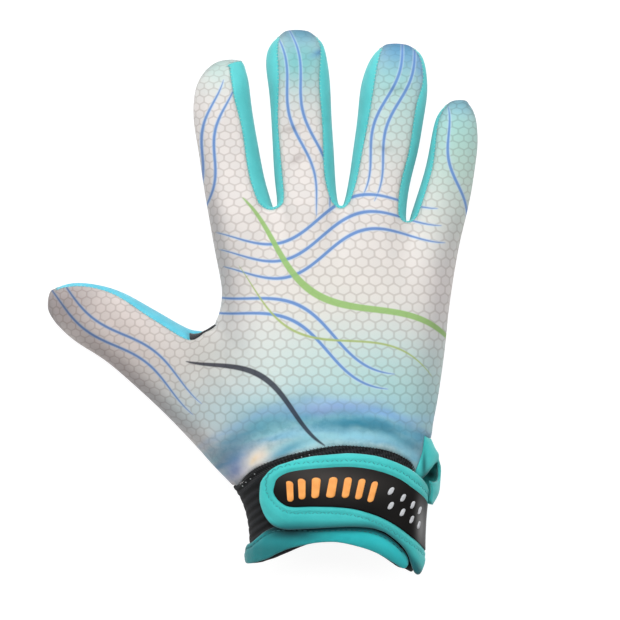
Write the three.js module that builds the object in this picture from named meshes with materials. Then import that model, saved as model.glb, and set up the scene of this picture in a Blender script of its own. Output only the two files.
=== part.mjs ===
// Aqua fitness glove for the right hand, lying palm down.
// Millimetres; +X towards the little finger, +Y towards the fingertips, +Z up, table at z = 0.
// The hand part is one net of four-sided patches (palm rows, finger and thumb rings), cut into its
// cloth pieces along their seams; each piece is that net's outer face with its cloth's thickness.
// The cuff's pieces are sheets wrapped round the same wrist sections, one over the other.
import * as THREE from "three";

// driving dimensions
const CLOTH = 1.4; // thickness of the hand part's cloth
const SEAM_GAP = 0.34; // between two neighbouring pieces
const BACK_COLUMNS = 6; // patches across the back of a finger, and across its underside
const SIDE_COLUMNS = 4; // patches down the side of a finger
const PALM_ROWS = 12; // from the finger bases to the end of the hand part
const WEB_ROW = 5; // palm rows between which the thumb grows out
const HEEL_ROW = 11;
const GUSSET_ROW = 10; // palm row at which the side gusset's point starts
// How much later these rows come at the little finger's side, as a share of the palm's length.
const LATE_ROWS = { 9: 0.012, 10: 0.04, 11: 0.012 };
const KNUCKLE_ROWS = 4; // over these rows the finger shapes die out in the back of the hand
const ROUND_TOP = 2.2; // fullness of a section above its widest line (2 is an ellipse)
const ROUND_UNDER = 3; // and below it
const WAIST_SHARE = 0.46; // height of a finger's widest line, as a share of the finger's
const UNDER_SEAM = 3.5; // how far the underside's seams lie in from a finger's side
const UNDER_SHARE = 0.3; // or this share of half the width, where a finger gets narrow
const FINGER_SAG = 1.5; // how far a finger's round underside is pressed flat on the table
// The web between the thumb and the index finger, at the palm and at the thumb's first two rings:
// its corners from the back's edge down, by their number in that line.
const WEB_EDGE = [
  { 0: [-20.3, -10.1, 18.5], 1: [-20.3, -10.1, 16], 2: [-20.4, -10.2, 13], 3: [-20.2, -10.1, 6] },
  { 0: [-25, -12.8, 22.4], 1: [-25, -12.4, 18.8], 3: [-25, -12.5, 8], 4: [-25, -13.6, 2.4] },
  { 3: [-31, -12.5, 7], 4: [-30.9, -14.2, 2.4] },
];
const SHARPEST_MITRE = 0.5; // limits how far a sharp corner of a piece is drawn back
const BAND_WALL = 1.6;
const TAB_WALL = 1.6;
const PAD_WALL = 1.3;
const STRAP_WALL = 2.6;
const PATCH_WALL = 1.1;
const MOTIF_WALL = 0.7;
const WEB_DROP = 2.6; // the webs between two fingers lie this much lower than the finger bases
const LAYER_GAP = 0.3; // between two layers of the cuff
const BAND_ROWS = 5; // rows of patches along the wrist band
const STRAP_ROWS = 5;
const TAB_ROWS = 3;
const PATCH_ROWS = 4;
const PAD_ROWS = 2;
const BAND_STEP = 9; // degrees between two lines of the wrist band
const SIDE_DIP = 4; // how much lower the band ends behind the side gusset
const SIDE_DIP_MIDDLE = -6; // degrees round the wrist at which it is lowest
const SIDE_DIP_REACH = 44; // degrees to both sides over which it rises again

const degrees = (angle) => (angle * Math.PI) / 180;
const clamp01 = (v) => Math.min(1, Math.max(0, v));
const ease = (v) => clamp01(v) ** 2 * (3 - 2 * clamp01(v));
const mix = (a, b, v) => a + (b - a) * v;

// Rows of numbers under named columns.
function table(columns, rows) {
  const names = columns.split(" ");
  return rows.map((row) => Object.fromEntries(names.map((name, i) => [name, row[i]])));
}

// the hand part's sections
// Each finger row: its outline's left and right point, its height, and how far in from the outline
// the two seams of its side strips are seen from above.
const RING = "leftX leftY rightX rightY height leftSeam rightSeam";
const FINGERS = {
  index: {
    tip: [-14.6, 104.2],
    rows: table(RING, [
      [-23.5, 40, 4, 43, 25, 4, 5.2],
      [-25.5, 52, 1, 53, 22.5, 4, 6],
      [-27.4, 65, -1.5, 66, 21.5, 4, 5.6],
      [-29.3, 76.5, -3.5, 77, 21, 4, 5.4],
      [-29.4, 86.5, -5, 87.5, 20, 4, 6.8],
      [-27.5, 95, -6, 95.5, 17.5, 3.5, 7.1],
      [-23, 101, -7.8, 101.5, 12, 2.5, 6.4],
    ]),
  },
  middle: {
    tip: [15, 117.1],
    rows: table(RING, [
      [6.5, 42.5, 32.5, 43.5, 27, 2.4, 2.4],
      [5.5, 52, 31.5, 53, 24, 3, 4.2],
      [4.7, 65, 30.8, 66, 22.5, 2.7, 4.2],
      [4, 78, 29.9, 79, 22, 2.4, 3.8],
      [3, 91, 29.4, 92, 21.5, 3.9, 4.5],
      [1.7, 101.5, 28.4, 101.5, 19.5, 5.2, 3.2],
      [2.9, 109.5, 26.6, 109.8, 16, 3.6, 1.2],
      [6.9, 114, 23.6, 113.9, 11, 1, 0.7],
    ]),
  },
  ring: {
    tip: [58.2, 111.2],
    rows: table(RING, [
      [35.5, 43.5, 62, 36.5, 26, 2, 3.2],
      [37.5, 53, 63.5, 50, 23.5, 3, 3.7],
      [39.2, 65, 66.9, 63.5, 22.5, 3.6, 3.6],
      [41, 78, 69.2, 76.5, 22, 4.5, 3.9],
      [42, 88.5, 70.9, 87, 21.5, 5.2, 3.6],
      [43.4, 96, 71.1, 95, 20, 5, 1.4],
      [46.7, 104.5, 69.5, 104.5, 16.5, 3.2, 0.9],
      [51, 109.2, 66, 108.8, 11, 1.1, 0.7],
    ]),
  },
  little: {
    tip: [84.8, 86.9],
    rows: table(RING, [
      [64, 37, 88.1, 37.5, 22, 2.6, 4],
      [67.6, 48, 90.3, 48, 20.5, 2.6, 4],
      [70.4, 57.5, 91.7, 57.5, 19.5, 2.5, 3.5],
      [72.2, 66, 92.8, 66, 18.5, 1.9, 3.5],
      [73.5, 73, 92.8, 73.5, 17, 1.3, 3],
      [75.6, 80, 91.8, 80.5, 14, 0.8, 2.5],
      [79.3, 84.6, 89.4, 84.9, 10, 0.6, 1.8],
    ]),
  },
  thumb: {
    tip: [-92.2, 0.8],
    rows: table(RING, [
      [-25, -66.2, -25, -12.4, 33, 5, 0.4],
      [-27.2, -63.8, -31, -12, 32.5, 5, 4.6],
      [-41.5, -48.5, -40.5, -6.5, 29, 4, 4.3],
      [-55.5, -35.6, -50, -1.5, 26.5, 4, 3.4],
      [-68, -25, -60, 3.9, 24.5, 4, 2],
      [-78.5, -18.5, -70.5, 7.1, 22, 3.5, 1.2],
      [-85.9, -12.5, -81.6, 8, 17.5, 3, 1],
      [-90, -7.8, -88.6, 5.8, 12, 2, 1],
    ]),
  },
};

// The palm and the wrist at y: the outline's left and right, the top and the underside (below the
// table where it is pressed flat), the height of the widest line, and the two heights between which
// the thumb leaves the left side.
const BODY = table("y left right top under waist thumbTop thumbUnder", [
  [48, -25, 90, 24, -3, 10, 10, 10],
  [40, -23.5, 88.5, 25, -3, 10, 10, 10],
  [24, -20.7, 84.9, 27.5, -3, 11, 11, 11],
  [7, -17.6, 81.9, 30, -3, 12, 12, 12],
  [-3, -17.6, 80.5, 31.5, -3, 13, 15, 10],
  [-10, -19, 79.7, 32.5, -3, 13, 20, 7],
  [-21, -20, 78.6, 34, -3, 14, 26, 4],
  [-39, -19.5, 76, 36.5, -3, 16, 28, 4],
  [-55, -20, 73.3, 38.5, -2, 18, 27, 6],
  [-61, -20.5, 72.4, 39, -1, 19, 25, 9],
  [-69, -22.8, 70.2, 39.7, 1.5, 20, 22, 17],
  [-74, -18.2, 68.3, 40, 3.6, 21, 21.5, 20.5],
  [-79, -12.4, 66.8, 40.2, 4.8, 22, 22, 22],
  [-87, -8.1, 65.7, 40.4, 5.2, 22.5, 22.5, 22.5],
  [-95, -6, 65, 40.4, 5.2, 22.5, 22.5, 22.5],
  [-105, -5.3, 64.7, 40.4, 5.2, 22.5, 22.5, 22.5],
  [-120, -5.6, 65.1, 40.4, 5.2, 22.5, 22.5, 22.5],
]);

// y of the hand part's end by the angle round the wrist (0 at the little finger's side, 90 on top).
const HAND_END = table("angle y", [
  [-180, -79.8],
  [-150, -78.2],
  [-110, -75],
  [-70, -74],
  [-22, -73],
  [0, -73],
  [22, -72.5],
  [29, -69.8],
  [40, -66.8],
  [56, -63.5],
  [76, -61.6],
  [88, -62],
  [103, -65.4],
  [125, -71.5],
  [146, -76.6],
  [163, -79.1],
  [180, -79.8],
]);

// The side gusset's lines from its point to its free end: their turn round the wrist, and at five
// corners each, from the back's side to the palm's, y and how far the corner stands off.
const GUSSET = table("from to y0 y1 y2 y3 y4 off0 off1 off2 off3 off4", [
  [21, -22, -65.5, -66, -65, -65.5, -66, 0, 2.8, 4.4, 3.5, 0],
  [22, -22, -72.5, -76.3, -68.2, -69.4, -72.5, 0, 2.2, 6, 5.4, 0],
  [17, -24, -77.6, -77.8, -75.6, -75.6, -77, 6.8, 8.4, 10, 8.8, 3.2],
  [9, -26, -81.6, -82.4, -82.2, -82.2, -82.4, 7.9, 9.6, 10.8, 9.8, 7.2],
  [3, -26, -86.4, -87.3, -87.5, -87.4, -87, 7.9, 8.1, 8.3, 8.1, 7.4],
]);
const GUSSET_FOLD = 2; // the line below which the gusset is open on the back's side

// the cuff's pieces: their edges by the angle round the wrist
const BAND_END = table("angle y", [
  [-180, -112.2],
  [-150, -110.2],
  [-120, -105.5],
  [-90, -103],
  [-60, -105.5],
  [-30, -111],
  [-10, -115.4],
  [5, -115.8],
  [16.8, -115.1],
  [25, -114.2],
  [34.8, -113.4],
  [42, -111.7],
  [51, -109.1],
  [59, -106.9],
  [66.5, -105.2],
  [73, -104],
  [79, -103],
  [85, -102.2],
  [90, -101.9],
  [99, -102.3],
  [107, -103.9],
  [111.2, -104.8],
  [120.2, -106.9],
  [126.2, -108.1],
  [132.8, -109.4],
  [141.5, -110.5],
  [148.2, -111.3],
  [161.5, -111.9],
  [180, -112.2],
]);
const TAB = table("angle top bottom", [
  [196, -110.4, -111.5],
  [193, -108.9, -112],
  [187, -107, -112.2],
  [180, -105.4, -112.2],
  [172, -104.2, -112.2],
  [165, -103.5, -112.1],
  [158, -102.9, -111.9],
  [148, -100.6, -111.1],
  [137, -97.6, -109.7],
  [128.5, -96, -107.7],
  [118, -95.4, -105.4],
  [110.8, -95.5, -104.3],
  [106, -95.7, -103.7],
  [98.8, -96, -102.8],
  [90, -96.4, -102.4],
  [85, -96.6, -102.7],
  [79, -96.9, -103.5],
  [73, -97.5, -104.5],
  [66.5, -98.5, -105.7],
  [59.2, -99.5, -107.4],
  [51.2, -100.9, -109.6],
  [41.8, -103.3, -112.2],
  [34.8, -105.6, -113.9],
  [31, -107, -113.9],
  [28, -109, -113],
  [26.4, -110.6, -111.9],
]);
const STRAP = table("angle top bottom", [
  [131.7, -84.5, -87.5],
  [131.3, -82.8, -89.3],
  [130.2, -81.2, -91.2],
  [128.2, -79.4, -92.9],
  [125, -77.2, -94.8],
  [121, -75.1, -96.2],
  [115, -71.9, -97.1],
  [109, -68.6, -97.2],
  [104.5, -66.9, -97],
  [96, -65.7, -96.6],
  [88, -64.9, -96.1],
  [77, -64.6, -95.9],
  [66, -65.4, -96.9],
  [59.8, -66.4, -98],
  [55, -67.4, -99.2],
  [49.8, -68.6, -101],
  [43.8, -70.1, -103.3],
  [38.5, -71.4, -105.7],
  [35, -72.4, -107.9],
  [32, -73.2, -111.2],
  [30, -73.7, -113.6],
  [25, -75, -116.1],
  [17, -76.8, -116.7],
  [8, -78.6, -114.8],
  [0, -80, -112.4],
  [-15, -82, -110.4],
  [-35, -83, -108.4],
  [-60, -83, -106.5],
  [-90, -82.4, -103],
  [-112, -82.4, -103],
]);
const PATCH = table("angle top bottom", [
  [119, -81.2, -82.6],
  [118, -79.9, -84.2],
  [116, -78.2, -85.8],
  [113, -76.2, -87],
  [109, -74.4, -87.4],
  [103, -72.6, -87.3],
  [96.5, -71.6, -87.2],
  [87.5, -70.7, -87.4],
  [78, -70.3, -88.2],
  [69, -70.9, -89.9],
  [58.8, -72.7, -92.4],
  [47.8, -75.5, -95.8],
  [36, -79.3, -99.7],
  [26, -81.9, -102.3],
  [14, -84.6, -105],
  [3, -86.6, -106.5],
  [-6, -87.6, -107],
  [-20, -88.4, -106],
]);
const PAD = table("angle top bottom", [
  [126, -80, -92],
  [122, -77.8, -93.4],
  [114, -75.5, -93.9],
  [104, -73.4, -93.4],
]);
// Raised motif on the patch: leaning bars and a double row of short dashes.
const BAR_COUNT = 7;
const BAR = { firstAngle: 108, lastAngle: 66, width: 3.8, lean: 4.2, long: 8.8 };
const DASH_COUNT = 4;
const DASH = { firstAngle: 54, lastAngle: 25, width: 3.4, lean: 2.4, long: 3.2, gap: 6.2 };

// Value of one column at x, on a smooth line through the rows (their key rises or falls).
function along(rows, key, x, column) {
  const list = rows[0][key] < rows[rows.length - 1][key] ? rows : [...rows].reverse();
  const last = list.length - 1;
  if (x <= list[0][key]) return list[0][column];
  if (x >= list[last][key]) return list[last][column];
  let i = 0;
  while (x > list[i + 1][key]) i++;
  const slope = (j) => {
    const a = list[Math.max(0, j - 1)];
    const b = list[Math.min(last, j + 1)];
    return (b[column] - a[column]) / (b[key] - a[key]);
  };
  const width = list[i + 1][key] - list[i][key];
  const v = (x - list[i][key]) / width;
  const a = list[i][column];
  const b = list[i + 1][column];
  return (
    a * (1 + 2 * v) * (1 - v) ** 2 +
    slope(i) * width * v * (1 - v) ** 2 +
    b * v * v * (3 - 2 * v) +
    slope(i + 1) * width * v * v * (v - 1)
  );
}

// Rounded section: the share of the half width and of the half height at an angle.
function turn(angle) {
  const c = Math.cos(degrees(angle));
  const s = Math.sin(degrees(angle));
  const power = 2 / (s >= 0 ? ROUND_TOP : ROUND_UNDER);
  return { across: Math.sign(c) * Math.abs(c) ** power, up: Math.sign(s) * Math.abs(s) ** power };
}
// The angle, 0 to 180, at which the section is that share across.
function angleAt(across, round) {
  const c = Math.sign(across) * Math.min(1, Math.abs(across)) ** (round / 2);
  return (Math.acos(c) * 180) / Math.PI;
}

// Point of the palm's or the wrist's section, at y and an angle round it, standing off by `off`.
function bodyPoint(y, angle, off = 0) {
  const at = (column) => along(BODY, "y", y, column);
  const { across, up } = turn(angle);
  const left = at("left");
  const right = at("right");
  const middle = (left + right) / 2;
  const half = (right - left) / 2 + off;
  let waist = at("waist");
  if (across < 0) {
    const level = Math.abs(up) < 1e-9;
    waist = level ? (at("thumbTop") + at("thumbUnder")) / 2 : at(up > 0 ? "thumbTop" : "thumbUnder");
  }
  const reach = up >= 0 ? at("top") + off - waist : waist - at("under") + off;
  return new THREE.Vector3(middle + half * across, y, waist + reach * up);
}

// the net of the hand part
const net = { points: [], faces: [] };
const addPoint = (point) => net.points.push(point) - 1;
const addFace = (piece, ...corners) => net.faces.push({ piece, corners });
const steps = (count, make) => Array.from({ length: count + 1 }, (_, i) => make(i, i / count));

// Corner numbers of one ring round a finger: its back, right side, underside and left side, the two
// sides counted from the back down; the corners they share have one number.
function fingerRing(row) {
  const left = new THREE.Vector2(row.leftX, row.leftY);
  const right = new THREE.Vector2(row.rightX, row.rightY);
  const middle = left.clone().add(right).multiplyScalar(0.5);
  const half = right.clone().sub(left).multiplyScalar(0.5);
  const width = half.length();
  const waist = row.height * WAIST_SHARE;
  const place = (angle) => {
    const { across, up } = turn(angle);
    const reach = up >= 0 ? row.height - waist : waist + FINGER_SAG;
    return addPoint(
      new THREE.Vector3(middle.x + half.x * across, middle.y + half.y * across, waist + reach * up),
    );
  };
  const backLeft = 180 - angleAt(1 - row.leftSeam / width, ROUND_TOP);
  const backRight = angleAt(1 - row.rightSeam / width, ROUND_TOP);
  const below = angleAt(1 - Math.min(UNDER_SEAM / width, UNDER_SHARE), ROUND_UNDER);
  const back = steps(BACK_COLUMNS, (_, v) => place(mix(backLeft, backRight, v)));
  const under = steps(BACK_COLUMNS, (_, v) => place(mix(180 + below, 360 - below, v)));
  const side = (from, flat, to, first, last) =>
    steps(SIDE_COLUMNS, (i, v) => {
      if (i === 0) return first;
      if (i === SIDE_COLUMNS) return last;
      return place(v < 0.5 ? mix(from, flat, v * 2) : mix(flat, to, v * 2 - 1));
    });
  return {
    back,
    under,
    left: side(backLeft, 180, 180 + below, back[0], under[0]),
    right: side(backRight, 0, -below, back[BACK_COLUMNS], under[BACK_COLUMNS]),
  };
}

// One ring as a closed loop, and the faces between two rings, by the piece each part belongs to.
const loopOf = (ring) => [
  ...ring.back,
  ...ring.right.slice(1, -1),
  ...[...ring.under].reverse(),
  ...ring.left.slice(1, -1).reverse(),
];
function joinRings(near, far, pieces) {
  const a = loopOf(near);
  const b = loopOf(far);
  const parts = [
    [BACK_COLUMNS, pieces.back],
    [1, pieces.rightEdge ?? pieces.right],
    [SIDE_COLUMNS - 1, pieces.right],
    [BACK_COLUMNS, pieces.under],
    [SIDE_COLUMNS, pieces.left],
  ];
  let i = 0;
  for (const [count, piece] of parts) {
    for (let k = 0; k < count; k++, i++) {
      const next = (i + 1) % a.length;
      addFace(piece, a[i], a[next], b[next], b[i]);
    }
  }
}

// The rounded end of a finger: a grid over the last ring. Its middle line is the fingertip's seam,
// and its rightmost column is the side strip's where that runs up round the tip.
function closeTip(ring, tip, pieces) {
  const centre = new THREE.Vector3();
  for (const i of loopOf(ring)) centre.add(net.points[i]);
  centre.multiplyScalar(1 / loopOf(ring).length);
  const reach = new THREE.Vector3(tip[0] - centre.x, tip[1] - centre.y, 0);
  const grid = ring.back.map((top, i) => {
    const low = ring.under[i];
    return steps(SIDE_COLUMNS, (k, v) => {
      if (k === 0) return top;
      if (k === SIDE_COLUMNS) return low;
      if (i === 0) return ring.left[k];
      if (i === BACK_COLUMNS) return ring.right[k];
      const side = (2 * i) / BACK_COLUMNS - 1;
      const height = 2 * v - 1;
      const bulge = Math.sqrt((1 - side ** 2) * (1 - height ** 4));
      const base = net.points[ring.left[k]].clone();
      base.lerp(net.points[ring.right[k]], i / BACK_COLUMNS);
      base.z = mix(net.points[top].z, net.points[low].z, v);
      return addPoint(base.addScaledVector(reach, bulge));
    });
  });
  for (let i = 0; i < BACK_COLUMNS; i++)
    for (let k = 0; k < SIDE_COLUMNS; k++) {
      let piece = k < SIDE_COLUMNS / 2 ? pieces.back : pieces.under;
      if (i === BACK_COLUMNS - 1) piece = pieces.tip ?? piece;
      addFace(piece, grid[i][k + 1], grid[i][k], grid[i + 1][k], grid[i + 1][k + 1]);
    }
}

const BACK = "back_panel";
const PALM = "palm_panel";
const FINGER_ORDER = ["index", "middle", "ring", "little"];
const FOURCHETTES = ["fourchette_index_middle", "fourchette_middle_ring", "fourchette_ring_little"];
const THUMB_STRIP = "thumb_gusset";
const SIDE_PIECE = "side_gusset";

// Finger rings, joined from the base to the tip.
const bases = FINGER_ORDER.map((name, f) => {
  const pieces = {
    back: BACK,
    under: PALM,
    left: f === 0 ? BACK : FOURCHETTES[f - 1],
    right: f === FINGER_ORDER.length - 1 ? BACK : FOURCHETTES[f],
    tip: name === "index" ? FOURCHETTES[f] : null,
  };
  const rings = FINGERS[name].rows.map(fingerRing);
  rings.slice(1).forEach((ring, i) => joinRings(rings[i], ring, pieces));
  closeTip(rings[rings.length - 1], FINGERS[name].tip, pieces);
  return rings[0];
});

// The web between two fingers: a line of corners a little lower than both finger bases.
const webs = FOURCHETTES.map((piece, f) => {
  const near = bases[f].right;
  const far = bases[f + 1].left;
  const web = near.map((corner, k) => {
    const point = net.points[corner].clone().lerp(net.points[far[k]], 0.5);
    point.y = Math.min(net.points[corner].y, net.points[far[k]].y) - WEB_DROP;
    return addPoint(point);
  });
  for (let k = 0; k < SIDE_COLUMNS; k++) {
    addFace(piece, near[k + 1], near[k], web[k], web[k + 1]);
    addFace(piece, web[k + 1], web[k], far[k], far[k + 1]);
  }
  return web;
});

// The palm's rows: from the finger bases' line to the hand part's end.
function palmRows(which, edge, fromAngle, toAngle) {
  const first = [];
  bases.forEach((base, f) => {
    first.push(...base[which]);
    if (f < webs.length) first.push(webs[f][edge]);
  });
  const round = which === "back" ? ROUND_TOP : ROUND_UNDER;
  const sign = which === "back" ? 1 : -1;
  const count = first.length - 1;
  const columns = first.map((corner, i) => {
    const start = net.points[corner];
    const half = (y) => (along(BODY, "y", y, "right") - along(BODY, "y", y, "left")) / 2;
    const middle = (y) => (along(BODY, "y", y, "right") + along(BODY, "y", y, "left")) / 2;
    const across = (start.x - middle(start.y)) / half(start.y);
    const shape = bodyPoint(start.y, sign * angleAt(across, round));
    const endAngle = mix(fromAngle, toAngle, i / count);
    return {
      start,
      across,
      rise: start.z - shape.z,
      endAcross: turn(endAngle).across,
      endY: along(HAND_END, "angle", endAngle, "y"),
    };
  });
  return steps(PALM_ROWS, (j, v) =>
    columns.map((column, i) => {
      if (j === 0) return first[i];
      const late = (LATE_ROWS[j] ?? 0) * ease((4 * i) / count - 3);
      const y = mix(column.start.y, column.endY, v + late);
      const across = mix(column.across, column.endAcross, ease(v + late));
      const point = bodyPoint(y, sign * angleAt(across, round));
      point.z += column.rise * (1 - ease(j / KNUCKLE_ROWS));
      return addPoint(point);
    }),
  );
}
const END_SEAM = 22; // degrees from the widest line to the seams at the hand part's end
const backRows = palmRows("back", 0, 180 - END_SEAM, END_SEAM);
const palmSideRows = palmRows("under", SIDE_COLUMNS, END_SEAM - 180, -END_SEAM);
const lastColumn = backRows[0].length - 1;
const hasThumb = (j) => j > WEB_ROW && j < HEEL_ROW;

// The two sides of the palm, from the back's edge down to the palm's edge.
function sideOf(j, sign) {
  const column = sign < 0 ? 0 : lastColumn;
  const top = backRows[j][column];
  const low = palmSideRows[j][column];
  const a = net.points[top];
  const b = net.points[low];
  return steps(SIDE_COLUMNS, (k, v) => {
    if (k === 0) return top;
    if (k === SIDE_COLUMNS) return low;
    const y = mix(a.y, b.y, v);
    const middle = (along(BODY, "y", y, "left") + along(BODY, "y", y, "right")) / 2;
    const half = (along(BODY, "y", y, "right") - along(BODY, "y", y, "left")) / 2;
    const above = angleAt(Math.abs(a.x - middle) / half, ROUND_TOP);
    const below = angleAt(Math.abs(b.x - middle) / half, ROUND_UNDER);
    const lift = v < 0.5 ? mix(above, 0, v * 2) : -mix(0, below, v * 2 - 1);
    return addPoint(bodyPoint(y, sign < 0 ? 180 - lift : lift));
  });
}
const leftSide = backRows.map((_, j) => {
  if (j === 0) return bases[0].left;
  return hasThumb(j) ? null : sideOf(j, -1);
});
const rightSide = backRows.map((_, j) => {
  if (j === 0) return bases[bases.length - 1].right;
  return j <= GUSSET_ROW ? sideOf(j, 1) : null;
});

for (let j = 0; j < PALM_ROWS; j++) {
  const back = [backRows[j], backRows[j + 1]];
  const under = [palmSideRows[j], palmSideRows[j + 1]];
  for (let i = 0; i < lastColumn; i++) {
    addFace(BACK, back[1][i], back[1][i + 1], back[0][i + 1], back[0][i]);
    addFace(PALM, under[1][i + 1], under[1][i], under[0][i], under[0][i + 1]);
  }
  for (let k = 0; k < SIDE_COLUMNS; k++) {
    const left = [leftSide[j], leftSide[j + 1]];
    if (left[0] && left[1] && !(j >= WEB_ROW && j < HEEL_ROW))
      addFace(BACK, left[1][k + 1], left[1][k], left[0][k], left[0][k + 1]);
    const right = [rightSide[j], rightSide[j + 1]];
    if (right[0] && right[1])
      addFace(BACK, right[1][k], right[1][k + 1], right[0][k + 1], right[0][k]);
  }
}

// The thumb grows out of the left side between its web and the heel of the hand.
const thumbBase = {
  back: steps(BACK_COLUMNS, (i) => backRows[HEEL_ROW - i][0]),
  under: steps(BACK_COLUMNS, (i) => palmSideRows[HEEL_ROW - i][0]),
  left: leftSide[HEEL_ROW],
  right: leftSide[WEB_ROW],
};
const thumbRings = [thumbBase, ...FINGERS.thumb.rows.map(fingerRing)];
WEB_EDGE.forEach((line, j) => {
  for (const [k, place] of Object.entries(line)) net.points[thumbRings[j].right[k]].set(...place);
});
// The palm's cloth comes up through the web and ends in a point between the back and the strip.
thumbRings.slice(1).forEach((ring, i) => {
  const right = i === 0 ? PALM : THUMB_STRIP;
  const rightEdge = i <= 1 ? PALM : THUMB_STRIP;
  joinRings(thumbRings[i], ring, { back: BACK, under: PALM, left: BACK, right, rightEdge });
});
closeTip(thumbRings.at(-1), FINGERS.thumb.tip, { back: BACK, under: PALM });

// The side gusset closes the notch at the little finger's side, then stands off over the strap.
const gussetRows = [rightSide[GUSSET_ROW]];
GUSSET.forEach((row, i) => {
  const j = GUSSET_ROW + 1 + i;
  const inHand = j <= PALM_ROWS;
  gussetRows.push(
    steps(SIDE_COLUMNS, (k, v) => {
      if (inHand && k === 0) return backRows[j][lastColumn];
      if (inHand && k === SIDE_COLUMNS) return palmSideRows[j][lastColumn];
      return addPoint(bodyPoint(row["y" + k], mix(row.from, row.to, v), row["off" + k]));
    }),
  );
});
for (let j = 0; j < gussetRows.length - 1; j++)
  for (let k = 0; k < SIDE_COLUMNS; k++) {
    if (j === GUSSET_FOLD && k < SIDE_COLUMNS / 2) continue;
    const [far, near] = [gussetRows[j], gussetRows[j + 1]];
    addFace(SIDE_PIECE, near[k], near[k + 1], far[k + 1], far[k]);
  }

// soften the net, and lay it on the table
const SOFTEN = 0.35;
const SOFTEN_ROUNDS = 2;
const links = net.points.map(() => new Set());
const edgeFaces = new Map();
for (const { corners } of net.faces)
  corners.forEach((a, i) => {
    const b = corners[(i + 1) % corners.length];
    links[a].add(b);
    links[b].add(a);
    const key = Math.min(a, b) + "-" + Math.max(a, b);
    edgeFaces.set(key, (edgeFaces.get(key) ?? 0) + 1);
  });
const free = new Set();
for (const [key, count] of edgeFaces)
  if (count === 1) key.split("-").forEach((corner) => free.add(Number(corner)));
const palmCorners = new Set();
for (let j = 1; j < PALM_ROWS; j++)
  for (const i of [...backRows[j], ...palmSideRows[j]]) palmCorners.add(i);
for (const ring of thumbRings.slice(0, 4)) for (const i of loopOf(ring)) palmCorners.add(i);
for (const ring of thumbRings.slice(0, 3)) for (const i of ring.right) palmCorners.delete(i);
for (let round = 0; round < SOFTEN_ROUNDS; round++) {
  const moved = net.points.map((point, i) => {
    if (free.has(i) || !palmCorners.has(i)) return point;
    const mean = new THREE.Vector3();
    for (const j of links[i]) mean.add(net.points[j]);
    return point.clone().lerp(mean.multiplyScalar(1 / links[i].size), SOFTEN);
  });
  net.points = moved;
}
for (const point of net.points) point.z = Math.max(0, point.z);

// pieces cut from the net
// Direction out of the cloth at every corner, from all the faces round it.
function cornerNormals() {
  const normals = net.points.map(() => new THREE.Vector3());
  for (const { corners } of net.faces) {
    const [a, b, c, d] = corners.map((i) => net.points[i]);
    const across = c.clone().sub(a).cross(d.clone().sub(b));
    for (const i of corners) normals[i].add(across);
  }
  return normals.map((n) => n.normalize());
}

// One piece: its faces outside, the same faces one cloth's thickness inside, and a rim along its
// edges; the edges are drawn back by half of the seam's gap.
function clothPiece(piece, normals) {
  const faces = net.faces.filter((face) => face.piece === piece);
  const rim = new Map();
  for (const { corners } of faces)
    corners.forEach((a, i) => {
      const b = corners[(i + 1) % corners.length];
      if (rim.has(b + "-" + a)) rim.delete(b + "-" + a);
      else rim.set(a + "-" + b, [a, b]);
    });
  const inward = new Map();
  for (const [a, b] of rim.values()) {
    const edge = net.points[b].clone().sub(net.points[a]).normalize();
    for (const i of [a, b]) {
      const into = normals[i].clone().cross(edge).normalize();
      inward.set(i, (inward.get(i) ?? []).concat(into));
    }
  }
  const outer = [];
  const inner = [];
  const numberOf = new Map();
  for (const { corners } of faces)
    for (const i of corners) {
      if (numberOf.has(i)) continue;
      numberOf.set(i, outer.length);
      const shift = new THREE.Vector3();
      const ways = inward.get(i);
      if (ways) {
        for (const way of ways) shift.add(way);
        shift.normalize();
        shift.multiplyScalar(SEAM_GAP / 2 / Math.max(SHARPEST_MITRE, shift.dot(ways[0])));
      }
      const point = net.points[i].clone().add(shift);
      point.z = Math.max(0, point.z);
      outer.push(point);
      inner.push(point.clone().addScaledVector(normals[i], -CLOTH));
    }
  const triangles = [];
  const put = (a, b, c, d) => triangles.push(a, b, c, a, c, d);
  for (const { corners } of faces) {
    const [a, b, c, d] = corners.map((i) => numberOf.get(i));
    put(outer[a], outer[b], outer[c], outer[d]);
    put(inner[d], inner[c], inner[b], inner[a]);
  }
  // Both pieces of a seam split a rim patch along the same diagonal, so their rims stay parallel.
  for (const [i, j] of rim.values()) {
    const [a, b] = [numberOf.get(i), numberOf.get(j)];
    if (i < j) put(outer[b], outer[a], inner[a], inner[b]);
    else put(outer[a], inner[a], inner[b], outer[b]);
  }
  return geometryOf(triangles);
}

function geometryOf(corners) {
  const geometry = new THREE.BufferGeometry().setFromPoints(corners);
  geometry.computeVertexNormals();
  return geometry;
}

// sheets round the wrist
// A sheet over a grid of (angle, y) places, from one stand-off to another; `loop` closes it.
function sheet(places, low, high, loop = false) {
  const grid = (off) => places.map((line) => line.map(({ angle, y }) => bodyPoint(y, angle, off)));
  const outer = grid(high);
  const inner = grid(low);
  const lines = places.length;
  const across = places[0].length - 1;
  const triangles = [];
  const put = (a, b, c, d) => triangles.push(a, b, c, a, c, d);
  const last = loop ? lines : lines - 1;
  for (let i = 0; i < last; i++) {
    const j = (i + 1) % lines;
    for (let k = 0; k < across; k++) {
      put(outer[i][k], outer[j][k], outer[j][k + 1], outer[i][k + 1]);
      put(inner[i][k + 1], inner[j][k + 1], inner[j][k], inner[i][k]);
    }
    put(outer[j][0], outer[i][0], inner[i][0], inner[j][0]);
    put(outer[i][across], outer[j][across], inner[j][across], inner[i][across]);
  }
  if (!loop)
    for (let k = 0; k < across; k++) {
      const end = lines - 1;
      put(outer[0][k], outer[0][k + 1], inner[0][k + 1], inner[0][k]);
      put(outer[end][k + 1], outer[end][k], inner[end][k], inner[end][k + 1]);
    }
  return geometryOf(triangles);
}

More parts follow.
